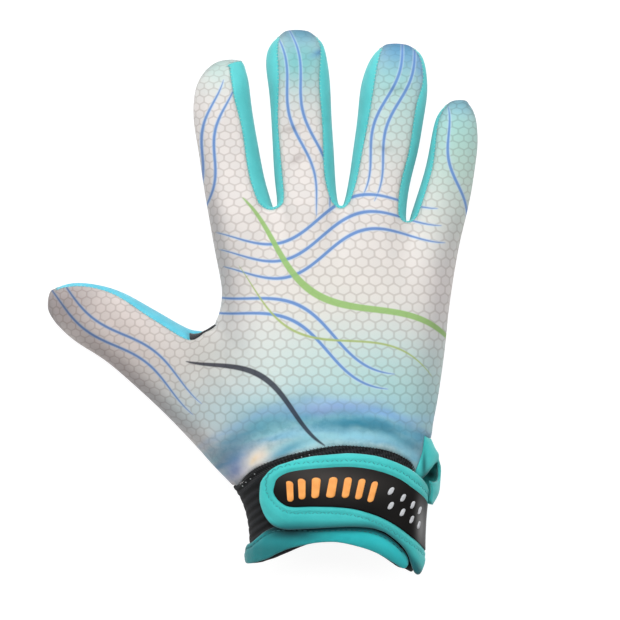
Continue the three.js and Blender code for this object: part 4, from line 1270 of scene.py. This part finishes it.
def knit(name, colour, darker, pitch=0.55, wrapped=True, roughness=0.85, depth=0.08,
         painted_shade=(), shadows=()):
    """Jersey in one colour: fine loops, slightly cloudy dye, painted shade below the strap and painted
    shadows.
    """
    paint = Paint(name)
    across, rows = paint.u, paint.v
    if not wrapped:
        across, rows = paint.x + paint.z * 0.7, paint.y + paint.z * 0.4
    loops = (across * (TURN / pitch)).sine() * (rows * (TURN / (pitch * 0.8))).sine()
    cloud, grain = paint.noise(0.09, 3.0, 0.6), paint.noise(1.6)
    share = (cloud * 1.3 - 0.15 + loops * 0.05 + (grain - 0.5) * 0.35).rise(0.1, 0.95)
    base = paint.blend(share, screen(*darker), screen(*colour))
    # painted shade: darker bands measured from the strap's lower edge, where the foam turns down away
    # from the lamps and where the strap casts its shadow
    for start, end, shade in painted_shade:
        past_strap = -paint.y - EDGE_LOW - (paint.x - EDGE_BENDS).most(0.0) ** 2 * EDGE_BEND
        base = paint.multiply(past_strap.rise(start, end), base, screen(*shade))
    # painted shadows: soft dark ovals at given places of the picture
    for x, y, long, wide, shade in shadows:
        spot_x, spot_y = at_picture(x, y)
        spot = paint.oval((paint.x - spot_x) / long, (paint.y - spot_y) / wide)
        base = paint.multiply(spot, base, screen(*shade))
    return paint.finish(base, roughness, loops * 0.5 + grain * 1.2, depth, **{
        "Sheen Weight": 0.25, "Sheen Roughness": 0.5, "Specular IOR Level": 0.25})


# painted shade: the strap grows darker towards its lower edge; painted shadows in the side gusset's
# crease and inside its fold
aqua_foam = knit("aqua_foam_jersey", (78, 207, 205), (64, 193, 191),
                 painted_shade=[(-13, -3, (232, 242, 244)), (-4.5, 1, (90, 140, 150))],
                 shadows=[(423.6, 464, 1, 6, (120, 150, 155)), (431, 475, 3.2, 2.8, (50, 84, 86))])
# the tab is a second copy of the strap's foam, a little less red, with its own painted shade: the
# strap's shadow just under the strap's edge, darker further down, and a painted shadow on the tab's
# left part
aqua_tab = knit("aqua_tab_jersey", (48, 200, 205), (38, 188, 193),
                painted_shade=[(3, 0.4, (70, 120, 125)), (3.5, 9.5, (210, 214, 214))],
                shadows=[(292, 531, 14, 3, (80, 110, 115)), (268, 548, 20, 12, (215, 190, 192))])
aqua_side = knit("aqua_side_strip", (98, 208, 210), (86, 197, 199), wrapped=False)
light_aqua_side = knit("light_aqua_strip", (108, 206, 226), (84, 190, 214), wrapped=False)
grip = knit("grip_palm_knit", (44, 46, 49), (34, 36, 39), 0.9, False, 0.7, 0.12)
hook_tape = knit("hook_tape", (30, 31, 33), (22, 23, 25), 1.1, depth=0.3)

paint = Paint("black_elastic")
cords = (paint.u * (TURN / 0.7)).sine()
lint = paint.noise(1.1, 3.0, 0.6)
# painted highlight and shade: the ridges' crests are painted lighter and their hollows darker; the
# noise gives the elastic an uneven tone
ridges = (paint.u * (TURN * waves) + paint.v * (TURN / RIB_PITCH)).sine()
base = paint.blend(lint * 0.6 + ridges * 0.4, screen(11, 12, 14), screen(44, 46, 50))
black_elastic = paint.finish(base, 0.75, cords + lint * 1.5, 0.12, **{"Specular IOR Level": 0.3})

# on the rubber the lamps leave a band of light in the middle, and a spot where it turns round
paint = Paint("black_rubber")
grain, smear = paint.noise(2.2), paint.noise(0.05)
base = paint.blend(smear.rise(0.3, 0.8), screen(10, 9, 9), screen(22, 20, 19))
middle_gleam = paint.oval((paint.x - 27) / 24, (paint.y + 72 + paint.x * 0.12) / 6)
base = paint.blend(middle_gleam * 0.7, base, screen(72, 68, 66))
side_gleam = paint.oval((paint.x - 68) / 1.8, (paint.y + 95) / 9)
base = paint.blend(side_gleam * 0.85, base, screen(134, 134, 134))
black_rubber = paint.finish(base, 0.4 + smear * 0.12, grain, 0.02, **{"Specular IOR Level": 0.12})


def moulded(name, colour, darker):
    """Smooth moulded rubber in one colour."""
    paint = Paint(name)
    cloud, grain = paint.noise(0.35), paint.noise(2.5)
    base = paint.blend(cloud.rise(0.3, 0.7), screen(*darker), screen(*colour))
    return paint.finish(base, 0.45 + cloud * 0.1, grain, 0.02)


def thread(name, colour):
    """Sewing thread: strands a little darker than the colour."""
    paint = Paint(name)
    strands = (paint.noise(4.0) - 0.5) * 0.5 + 0.5
    base = paint.blend(strands, screen(*[c * 0.82 for c in colour]), screen(*colour))
    return paint.finish(base, 0.6, strands, 0.03)


orange_print = moulded("orange_print", (252, 172, 88), (245, 160, 76))
silver_print = moulded("silver_print", (205, 207, 210), (185, 187, 191))
aqua_thread = thread("aqua_thread", (54, 168, 170))
# the tab's thread is the strap's thread painted darker, as painted shade, since it runs in the strap's
# painted shadow
shaded_aqua_thread = thread("shaded_aqua_thread", (28, 112, 117))
pale_thread = thread("pale_thread", (176, 226, 226))
black_thread = thread("black_thread", (46, 48, 50))
white_thread = thread("white_thread", (206, 210, 212))
print(len(bpy.data.materials), "materials so far")

# %% [markdown]
# ### The printed cloth
# The print is laid on the flat cloth: a honeycomb of thin lines, cells that differ a little in
# tone, soft washes of aqua and blue at the fingertips and above the cuff, and a plain pattern of
# wave lines. One painted picture could hold all of it, but it could not be changed line by line.
# Each set of parallel waves is a short table row: where its middle is, how it is turned, how long
# it is, and the height and length of its waves.

# %% Tables of the print
CELL, ROW_HEIGHT = 5.4, 3.95
SPOT = "x y turn long wide red green blue share"
WASHES = table(SPOT, [
    (215, 64, 0, 11, 11, 172, 206, 200, 0.75), (300, 60, 0, 17, 16, 114, 188, 190, 0.95),
    (305, 28, 0, 14, 7, 92, 158, 186, 0.9), (321, 52, 25, 4, 1.6, 56, 126, 190, 0.8),
    (395, 78, 0, 20, 19, 138, 200, 200, 0.9), (404, 43, -10, 16, 11, 72, 146, 190, 0.95),
    (424, 72, -80, 14, 4, 80, 144, 204, 0.7), (392, 124, 0, 20, 16, 190, 218, 212, 0.6),
    (458, 132, 0, 15, 20, 138, 200, 200, 0.9), (460, 104, 0, 11, 6, 104, 172, 200, 0.85),
    (460, 168, 0, 13, 24, 178, 214, 200, 0.8), (445, 205, 0, 14, 20, 206, 214, 208, 0.6),
    (330, 300, 0, 36, 26, 222, 218, 208, 0.5), (330, 372, 0, 56, 20, 192, 222, 218, 0.6),
    (400, 392, -10, 36, 20, 152, 204, 204, 0.7), (330, 420, -4, 62, 12, 122, 190, 204, 0.8),
    (262, 424, 30, 17, 8, 112, 168, 180, 0.65),
])
STREAKS = table(SPOT, [
    (322, 407, 4, 22, 3, 142, 160, 208, 0.7), (352, 423, -6, 17, 2.9, 34, 122, 150, 0.95),
    (396, 438, -30, 16, 3, 34, 118, 148, 0.9), (378, 412, -12, 18, 2.2, 128, 172, 222, 0.65),
    (345, 436, -3, 22, 2.2, 150, 210, 224, 0.75), (408, 456, -38, 14, 3, 128, 192, 210, 0.7),
    (420, 443, -44, 12, 2.2, 70, 146, 176, 0.8), (300, 441, 20, 13, 2.6, 156, 212, 222, 0.8),
    (268, 421, 24, 15, 4, 88, 152, 168, 0.6), (284, 450, 26, 11, 2, 74, 146, 172, 0.85),
    (230, 450, 42, 12, 6, 84, 124, 148, 0.8), (237, 468, 42, 8, 4, 112, 132, 186, 0.75),
    (258, 456, 34, 6, 3.2, 236, 220, 202, 0.95), (254, 459, 60, 2, 0.9, 222, 192, 130, 0.4),
])
# painted shade: darker ovals where the thumb and the hand's edges turn away from the lamps, and in
# small dents on the middle and ring fingers
SHADES = table(SPOT, [
    (64, 300, -38, 12, 16, 198, 195, 197, 1), (125, 335, -38, 46, 16, 224, 216, 214, 0.9),
    (140, 386, -42, 56, 5, 198, 192, 194, 0.9), (205, 350, -60, 14, 12, 226, 224, 222, 0.8),
    (214, 220, 99, 34, 4, 196, 194, 196, 0.74), (231, 302, 97, 26, 8, 204, 205, 209, 0.64),
    (440, 300, 82, 60, 5.5, 224, 222, 226, 0.75),
    (425, 345, 80, 26, 9, 242, 240, 240, 0.5), (291, 129, 10, 4.5, 1.4, 200, 192, 192, 0.6),
    (297, 159, 35, 3.5, 1.5, 200, 192, 192, 0.6), (394, 90, 0, 5, 1.6, 210, 216, 214, 0.6),
    (383, 148, -10, 4.5, 1.5, 206, 204, 204, 0.6),
])
BANDS = table("above wide red green blue share", [
    (1.5, 2.6, 150, 208, 216, 0.55), (6.2, 2.4, 84, 158, 196, 0.8), (10.5, 1.9, 140, 204, 214, 0.6),
    (14.2, 2.2, 92, 172, 202, 0.65), (19, 2.2, 132, 176, 218, 0.45),
])
BLUE, GREEN, OLIVE, NAVY = (90, 136, 200), (146, 188, 106), (164, 184, 104), (40, 42, 60)
WAVES = [
    # x, y, turn, length, wave height, wave length, phase, lines, spacing, line width, colour
    (210, 150, 78, 62, 2.2, 46, 0.4, 2, 5.5, 1.3, BLUE),
    (303, 120, 104, 84, 2.2, 52, 1.2, 2, 6.0, 1.3, BLUE),
    (390, 110, 74, 80, 2.2, 50, 2.6, 2, 5.5, 1.3, BLUE),
    (455, 170, 100, 56, 2.0, 44, 0.9, 1, 5.0, 1.3, BLUE),
    (330, 235, 12, 96, 6.5, 74, 0.3, 3, 7.5, 1.5, BLUE),
    (300, 330, -24, 90, 6.0, 80, 2.0, 2, 7.0, 1.5, BLUE),
    (120, 340, -38, 90, 2.6, 60, 0.0, 2, 6.0, 1.1, BLUE),
    (345, 290, 146, 118, 8.5, 104, 0.9, 1, 6.0, 3.2, GREEN),
    (330, 330, 150, 96, 8.0, 96, 0.6, 1, 6.0, 1.1, OLIVE),
    (262, 392, -30, 70, 6.0, 78, 1.9, 1, 6.0, 2.6, NAVY),
]
CUFF_TOP, CUFF_MIDDLE, CUFF_BOW = 61.6, 27, 0.0072  # the bowed line where the print meets the cuff
print(len(WASHES), "washes,", len(SHADES), "shades and", len(WAVES), "sets of waves")

# %% Painting the honeycomb
paint = Paint("printed_cloth")
cloudy = paint.noise(0.045, 3.0, 0.55) - 0.5
TALL = math.sqrt(3)  # height of a pair of honeycomb rows for a cell one wide


def centred(place):
    """Place within a step of one, from -0.5 to 0.5."""
    return place - place.floor() - 0.5


gx, gy = paint.u / CELL, paint.v * (TALL / 2 / ROW_HEIGHT)
ax, ay = centred(gx), centred(gy / TALL) * TALL
bx, by = centred(gx + 0.5), centred(gy / TALL + 0.5) * TALL
nearer = (ax * ax + ay * ay) < (bx * bx + by * by)
hx, hy = bx + (ax - bx) * nearer, by + (ay - by) * nearer
hexagon = abs(hx).most(abs(hx) * 0.5 + abs(hy) * (TALL / 2))
circle = (hx * hx + hy * hy) ** 0.5
edge = 0.5 - (hexagon * 0.72 + circle * 0.266)
cell = paint.vector(((gx - hx) * 2).nearest_whole(), ((gy - hy) * (2 / TALL)).nearest_whole())
cell_tone = paint.node("ShaderNodeTexWhiteNoise", None, {"Vector": cell})
ground = paint.blend(cell_tone * 0.6 + cloudy, screen(221, 216, 213), screen(233, 226, 222))
print("a cell is", CELL, "mm wide")

# %% Painting washes, lines and waves
def tone(row):
    """The colour in a table's row."""
    return screen(row["red"], row["green"], row["blue"])


def spotted(ground, spots, wander, lay):
    """The ground with a table's soft oval spots laid on it; their edges wander a little."""
    for spot in spots:
        x, y = at_picture(spot["x"], spot["y"])
        dx, dy = paint.x - x + cloudy * wander, paint.y - y + cloudy * (0.8 * wander)
        p, q = own_axes(dx, dy, spot["turn"])
        share = paint.oval(p / spot["long"], q / spot["wide"]) * spot["share"]
        ground = lay(share, ground, tone(spot))
    return ground


ground = spotted(ground, WASHES, 8, paint.blend)
drift = paint.noise(0.12, 3.0, 0.6, paint.vector(paint.x * 0.35, paint.y))
from_middle = paint.x - CUFF_MIDDLE
above = paint.y + CUFF_TOP + from_middle * from_middle * CUFF_BOW + (drift - 0.5) * 9
for band_row in BANDS:
    share = ((above - band_row["above"]) / band_row["wide"]).bell()
    share = share * (drift * 1.6 - 0.1).rise(0.1, 0.9) * band_row["share"]
    ground = paint.blend(share, ground, tone(band_row))
near_cuff = 1 - (above / 26).rise(0.3, 1.0)
mottle = paint.noise(0.3, 4.0, 0.65).rise(0.4, 0.7) * near_cuff
ground = paint.multiply(mottle * 0.6, ground, screen(176, 204, 214))
ground = spotted(ground, STREAKS, 10, paint.blend)
line = 1 - edge.rise(0.03, 0.125)
faded = (above / 30).rise(0.2, 1.0)
tip_fade = 1 - paint.y.rise(88, 112) * 0.6
ground = paint.multiply(line * (0.06 + faded * 0.34) * tip_fade, ground, screen(186, 176, 170))
for px, py, turned, long, high, wave_length, phase, lines, spacing, width, ink in WAVES:
    x, y = at_picture(px, py)
    p, q = own_axes(paint.x - x, paint.y - y, turned)
    away = abs(q - (p * (TURN / wave_length) + phase).sine() * high)
    if lines > 1:
        beside = abs(away - (lines - 1) / 2 * spacing)
        away = beside if lines == 2 else away.least(beside)
    taper = (1 - (p / (long / 2)) ** 2).most(0.0) ** 0.5
    past_edge = away - taper * (width / 2)
    if ink == BLUE:
        halo = (1 - past_edge.rise(0.0, 0.8)) * taper.rise(0.0, 0.3)
        ground = paint.blend(halo * 0.5, ground, screen(196, 216, 234))
    ink_share = (1 - past_edge.rise(-0.35, 0.3)) * taper.rise(0.0, 0.2)
    ground = paint.blend(ink_share * 0.92, ground, screen(*ink))
# painted shade from the table of shades
ground = spotted(ground, SHADES, 3, paint.multiply)
# painted shade: the print is darkened where it lies less than 14 mm above the table, most below 2 mm,
# as on the sides that turn down
ground = paint.multiply(1 - paint.z.rise(2, 14), ground, screen(176, 180, 186))
weave = (paint.u * (TURN / 0.6)).sine() * (paint.v * (TURN / 0.5)).sine()
printed_cloth = paint.finish(ground, 0.78, weave * 0.5 + paint.noise(1.8), 0.06, **{
    "Sheen Weight": 0.1, "Specular IOR Level": 0.3})
print("nodes of the print:", len(paint.tree.nodes))

# %% [markdown]
# ### Which piece gets which finish
# Every dressed piece stands in for the solid of the same name. Materials could be given out piece
# by piece, but one table shows the whole glove at a glance, and the loop forgets no step.

# %% Painting the pieces
LOOKS = {BACK: (printed_cloth, "printed_cloth"), PALM: (grip, "grip_palm"),
         THUMB_STRIP: (light_aqua_side, "light_aqua_cloth"), SIDE_PIECE: (aqua_foam, "aqua_neoprene")}
for name in STRIPS:
    LOOKS[name] = (aqua_side, "aqua_cloth")
cuff_looks = {strap: (aqua_foam, "aqua_neoprene"), tab: (aqua_tab, "aqua_neoprene"),
              patch: (black_rubber, "black_rubber"), pad: (hook_tape, "black_fastener"),
              band: (black_elastic, "black_elastic")}
dressed = {hand[name]: LOOKS[name] for name in hand} | cuff_looks
for made in marks:
    dressed[made] = ((orange_print, "orange_print") if "bar" in made.name
                     else (silver_print, "silver_print"))
for made, (material, slot) in dressed.items():
    made.data.materials.append(material)
    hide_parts(made.name.removesuffix("_dressed"))
    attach(made, "root")
print(len(dressed), "pieces dressed")

# %% [markdown]
# ## Stitches
# A stitch is a short bit of thread pulled into the cloth. A bump could draw it, but thread stands
# up and catches the light. So one small recipe repeats a real bead along any line: the line's
# places carry their own turn, and the recipe puts a slim rounded bead on each.

# %% The stitch recipe
STITCH_INPUTS = {"Places": "Geometry", "Stitch length": "Float", "Thread thickness": "Float",
                 "Thread": "Material"}


def stitch_recipe():
    """Geometry nodes that put one bead of thread on every place, turned as the place says."""
    group = bpy.data.node_groups.new("stitches", "GeometryNodeTree")
    sockets = [group.interface.new_socket(name, in_out="INPUT", socket_type="NodeSocket" + kind)
               for name, kind in STITCH_INPUTS.items()]
    group.interface.new_socket("Stitches", in_out="OUTPUT", socket_type="NodeSocketGeometry")
    lay = Value(group).node
    places, long, thick, material = [lay("NodeGroupInput", out=name) for name in STITCH_INPUTS]
    bead = lay("GeometryNodeMeshIcoSphere", None, {"Subdivisions": 2, "Radius": 0.5})
    size = lay("ShaderNodeCombineXYZ", None, {"X": long, "Y": thick, "Z": thick})
    turned = lay("GeometryNodeInputNamedAttribute", {"data_type": "FLOAT_VECTOR"}, {"Name": "turn"})
    rotation = lay("FunctionNodeEulerToRotation", None, {"Euler": turned})
    beads = lay("GeometryNodeInstanceOnPoints", None,
                {"Points": places, "Instance": bead, "Rotation": rotation, "Scale": size})
    real = lay("GeometryNodeRealizeInstances", None, {"Geometry": beads})
    smooth = lay("GeometryNodeSetShadeSmooth", None, {"Geometry": real})
    sewn = lay("GeometryNodeSetMaterial", None, {"Geometry": smooth, "Material": material})
    lay("NodeGroupOutput", None, {"Stitches": sewn})
    return group, [socket.identifier for socket in sockets[1:]]


STITCHES, STITCH_SOCKETS = stitch_recipe()


def stitches(name, places, ahead, out, lean, length, thickness, thread):
    """One mesh of stitches flat on the cloth, each leant off the line by the next lean."""
    mesh = bpy.data.meshes.new(name)
    mesh.from_pydata((np.asarray(places) * MM).tolist(), [], [])
    turns = []
    for i, (a, o) in enumerate(zip(ahead, out)):
        o = Vector(o).normalized()
        a = (Vector(a) - o * Vector(a).dot(o)).normalized()
        a, side = own_axes(a, o.cross(a), lean[i % len(lean)])
        turns += list(Matrix((a, side, o)).transposed().to_euler())
    mesh.attributes.new("turn", "FLOAT_VECTOR", "POINT").data.foreach_set("vector", turns)
    holder = placed(name + "_places", mesh)
    recipe = holder.modifiers.new("stitches", "NODES")
    recipe.node_group = STITCHES
    for socket, value in zip(STITCH_SOCKETS, (length * MM, thickness * MM, thread)):
        recipe[socket] = value
    return placed(name, finished(holder))


def evenly(line, pitch):
    """Places a pitch apart along a line, and the direction of the line there."""
    line = np.asarray(line, float)
    length = walked(line)
    at = np.linspace(0, length[-1], max(2, round(length[-1] / pitch)))
    places = np.column_stack([np.interp(at, length, column) for column in line.T])
    return places, np.gradient(places, axis=0)


def on_wrist(places, height, step=0.3):
    """Points, directions and outward ways of flat places (round, along) laid on the wrist."""
    u, y = np.array(places).T
    ground = body_point(y, angle_of(u), height)
    round_way = body_point(y, angle_of(u + step), height) - body_point(y, angle_of(u - step), height)
    along_way = body_point(y + step, angle_of(u), height) - body_point(y - step, angle_of(u), height)
    return ground, np.gradient(ground, axis=0), np.cross(round_way, along_way)


print("stitch inputs:", list(STITCH_INPUTS))

# %% [markdown]
# ### Seams
# The strap's border has a zigzag seam, the tab one straight row. The printed cloth is joined to
# the side strips by a flat seam whose thread makes small pale teeth, and two rows of cover
# stitches hold it on the elastic. The seams are not drawn again: their lines are found where two
# pieces of the skin meet, so the thread can't miss the cloth.

# %% Sewing the cuff
sewing = {}  # the stitches and their slot


def sew(name, slot, places, height, lean, length, thickness, thread):
    """Stitches on flat places of the cuff."""
    made = stitches(name, *on_wrist(places, height), lean, length, thickness, thread)
    sewing[made] = slot


outline_u = np.linspace(patch_outline.stop + 1, patch_outline.start, 500)
patch_top, patch_low = patch_outline.edges(outline_u)
round_patch = np.vstack((np.column_stack((outline_u, patch_low)),
                         np.column_stack((outline_u, patch_top))[::-1]))
round_patch, way = evenly(round_patch, 0.4)
EVEN_OUT = 25  # the line's direction is averaged over so many places, so that corners turn round
way = np.column_stack([np.convolve(np.pad(c, EVEN_OUT // 2, "edge"), np.ones(EVEN_OUT) / EVEN_OUT,
                                   "valid") for c in way.T])
way /= np.linalg.norm(way, axis=1)[:, None]
places, _ = evenly(round_patch + np.column_stack((way[:, 1], -way[:, 0])) * STITCH_OFF, 1.5)
u, y = places.T
height = STRAP_HIGH + strap_face(u, y, np.maximum(strap_outline.depth(u, y), 0)) + 0.05
sew("strap_stitches", "aqua_neoprene", places, height, lean=(-38, 38), length=1.9, thickness=0.42,
    thread=aqua_thread)

tab_u = np.linspace(tab_outline.stop + 5, tab_outline.start - 4, 300)
places, _ = evenly(np.column_stack((tab_u, tab_outline.edges(tab_u)[0] - TAB_STITCH)), 2.4)
sew("tab_stitches", "aqua_neoprene", places, TAB_HIGH - 0.05, lean=(0,), length=1.8, thickness=0.4,
    thread=shaded_aqua_thread)

row_angles = np.arange(178, -178, -1.0)
row_u, row_top = length_at(row_angles), band_edge(row_angles)
for name, below, height, long in (("overlock_stitches", 0.2, 0.12, 2.2), ("band_stitches", 2.3, 0, 2)):
    places, _ = evenly(np.column_stack((row_u, row_top - below)), 1.25)
    sew(name, "black_elastic", places, height, lean=(60,), length=long, thickness=0.42,
        thread=black_thread)

LINT = [(151, 1), (142.5, 1), (134.5, 1.4), (127.5, 1.1), (100.3, 2.4), (97.3, 2), (94, 1.9)]
places = [(length_at(angle), band_edge([angle])[0] - below) for angle, below in LINT]
sew("band_bobbles", "black_elastic", places, 0.25, lean=(40,), length=0.6, thickness=0.4,
    thread=white_thread)
print([made.name for made in sewing])

# %% Sewing the seams of the hand
def seam_runs(piece, others):
    """Runs of skin points along the seams between one piece and some others."""
    mine, theirs = piece_names.index(piece), {piece_names.index(name) for name in others}
    beside = {}
    for (a, b), who in pieces_at.items():
        if mine in who and theirs & set(who):
            beside.setdefault(a, []).append(b)
            beside.setdefault(b, []).append(a)
    runs = []
    while beside:
        here = min(beside, key=lambda point: (len(beside[point]), point))
        runs.append([here])
        while beside[here]:
            following = beside[here].pop()
            beside[following].remove(here)
            if not beside[here]:
                del beside[here]
            runs[-1].append(following)
            here = following
        del beside[here]
    return runs


runs = [evenly(np.column_stack((skin_points[line], normals[line])), 1.7)
        for line in seam_runs(BACK, [*STRIPS, THUMB_STRIP])]
places, ahead = (np.vstack(part) for part in zip(*runs))
out = places[:, 3:]
seam = stitches("seam_stitches", places[:, :3] + out * 0.1, ahead[:, :3], out, lean=(110, 70),
                length=1.3, thickness=0.34, thread=pale_thread)
sewing[seam] = "aqua_cloth"
for made, slot in sewing.items():
    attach(made, "root")
    print(made.name, len(made.data.polygons), "faces")

# %% [markdown]
# ## The white table
# The real picture was taken on white. Strong lamps would whiten a grey table but bleach the glove
# too, so the table gives off a little light of its own.

# %% The table's paint
paint = Paint("white_table")
base = paint.blend(paint.noise(0.02), screen(120, 120, 120), screen(128, 128, 128))
table_paint = paint.finish(base, 0.9, **{"Emission Color": (1, 1, 1, 1), "Emission Strength": 0.92})
table_top.data.materials.append(table_paint)
print("materials:", len(bpy.data.materials))
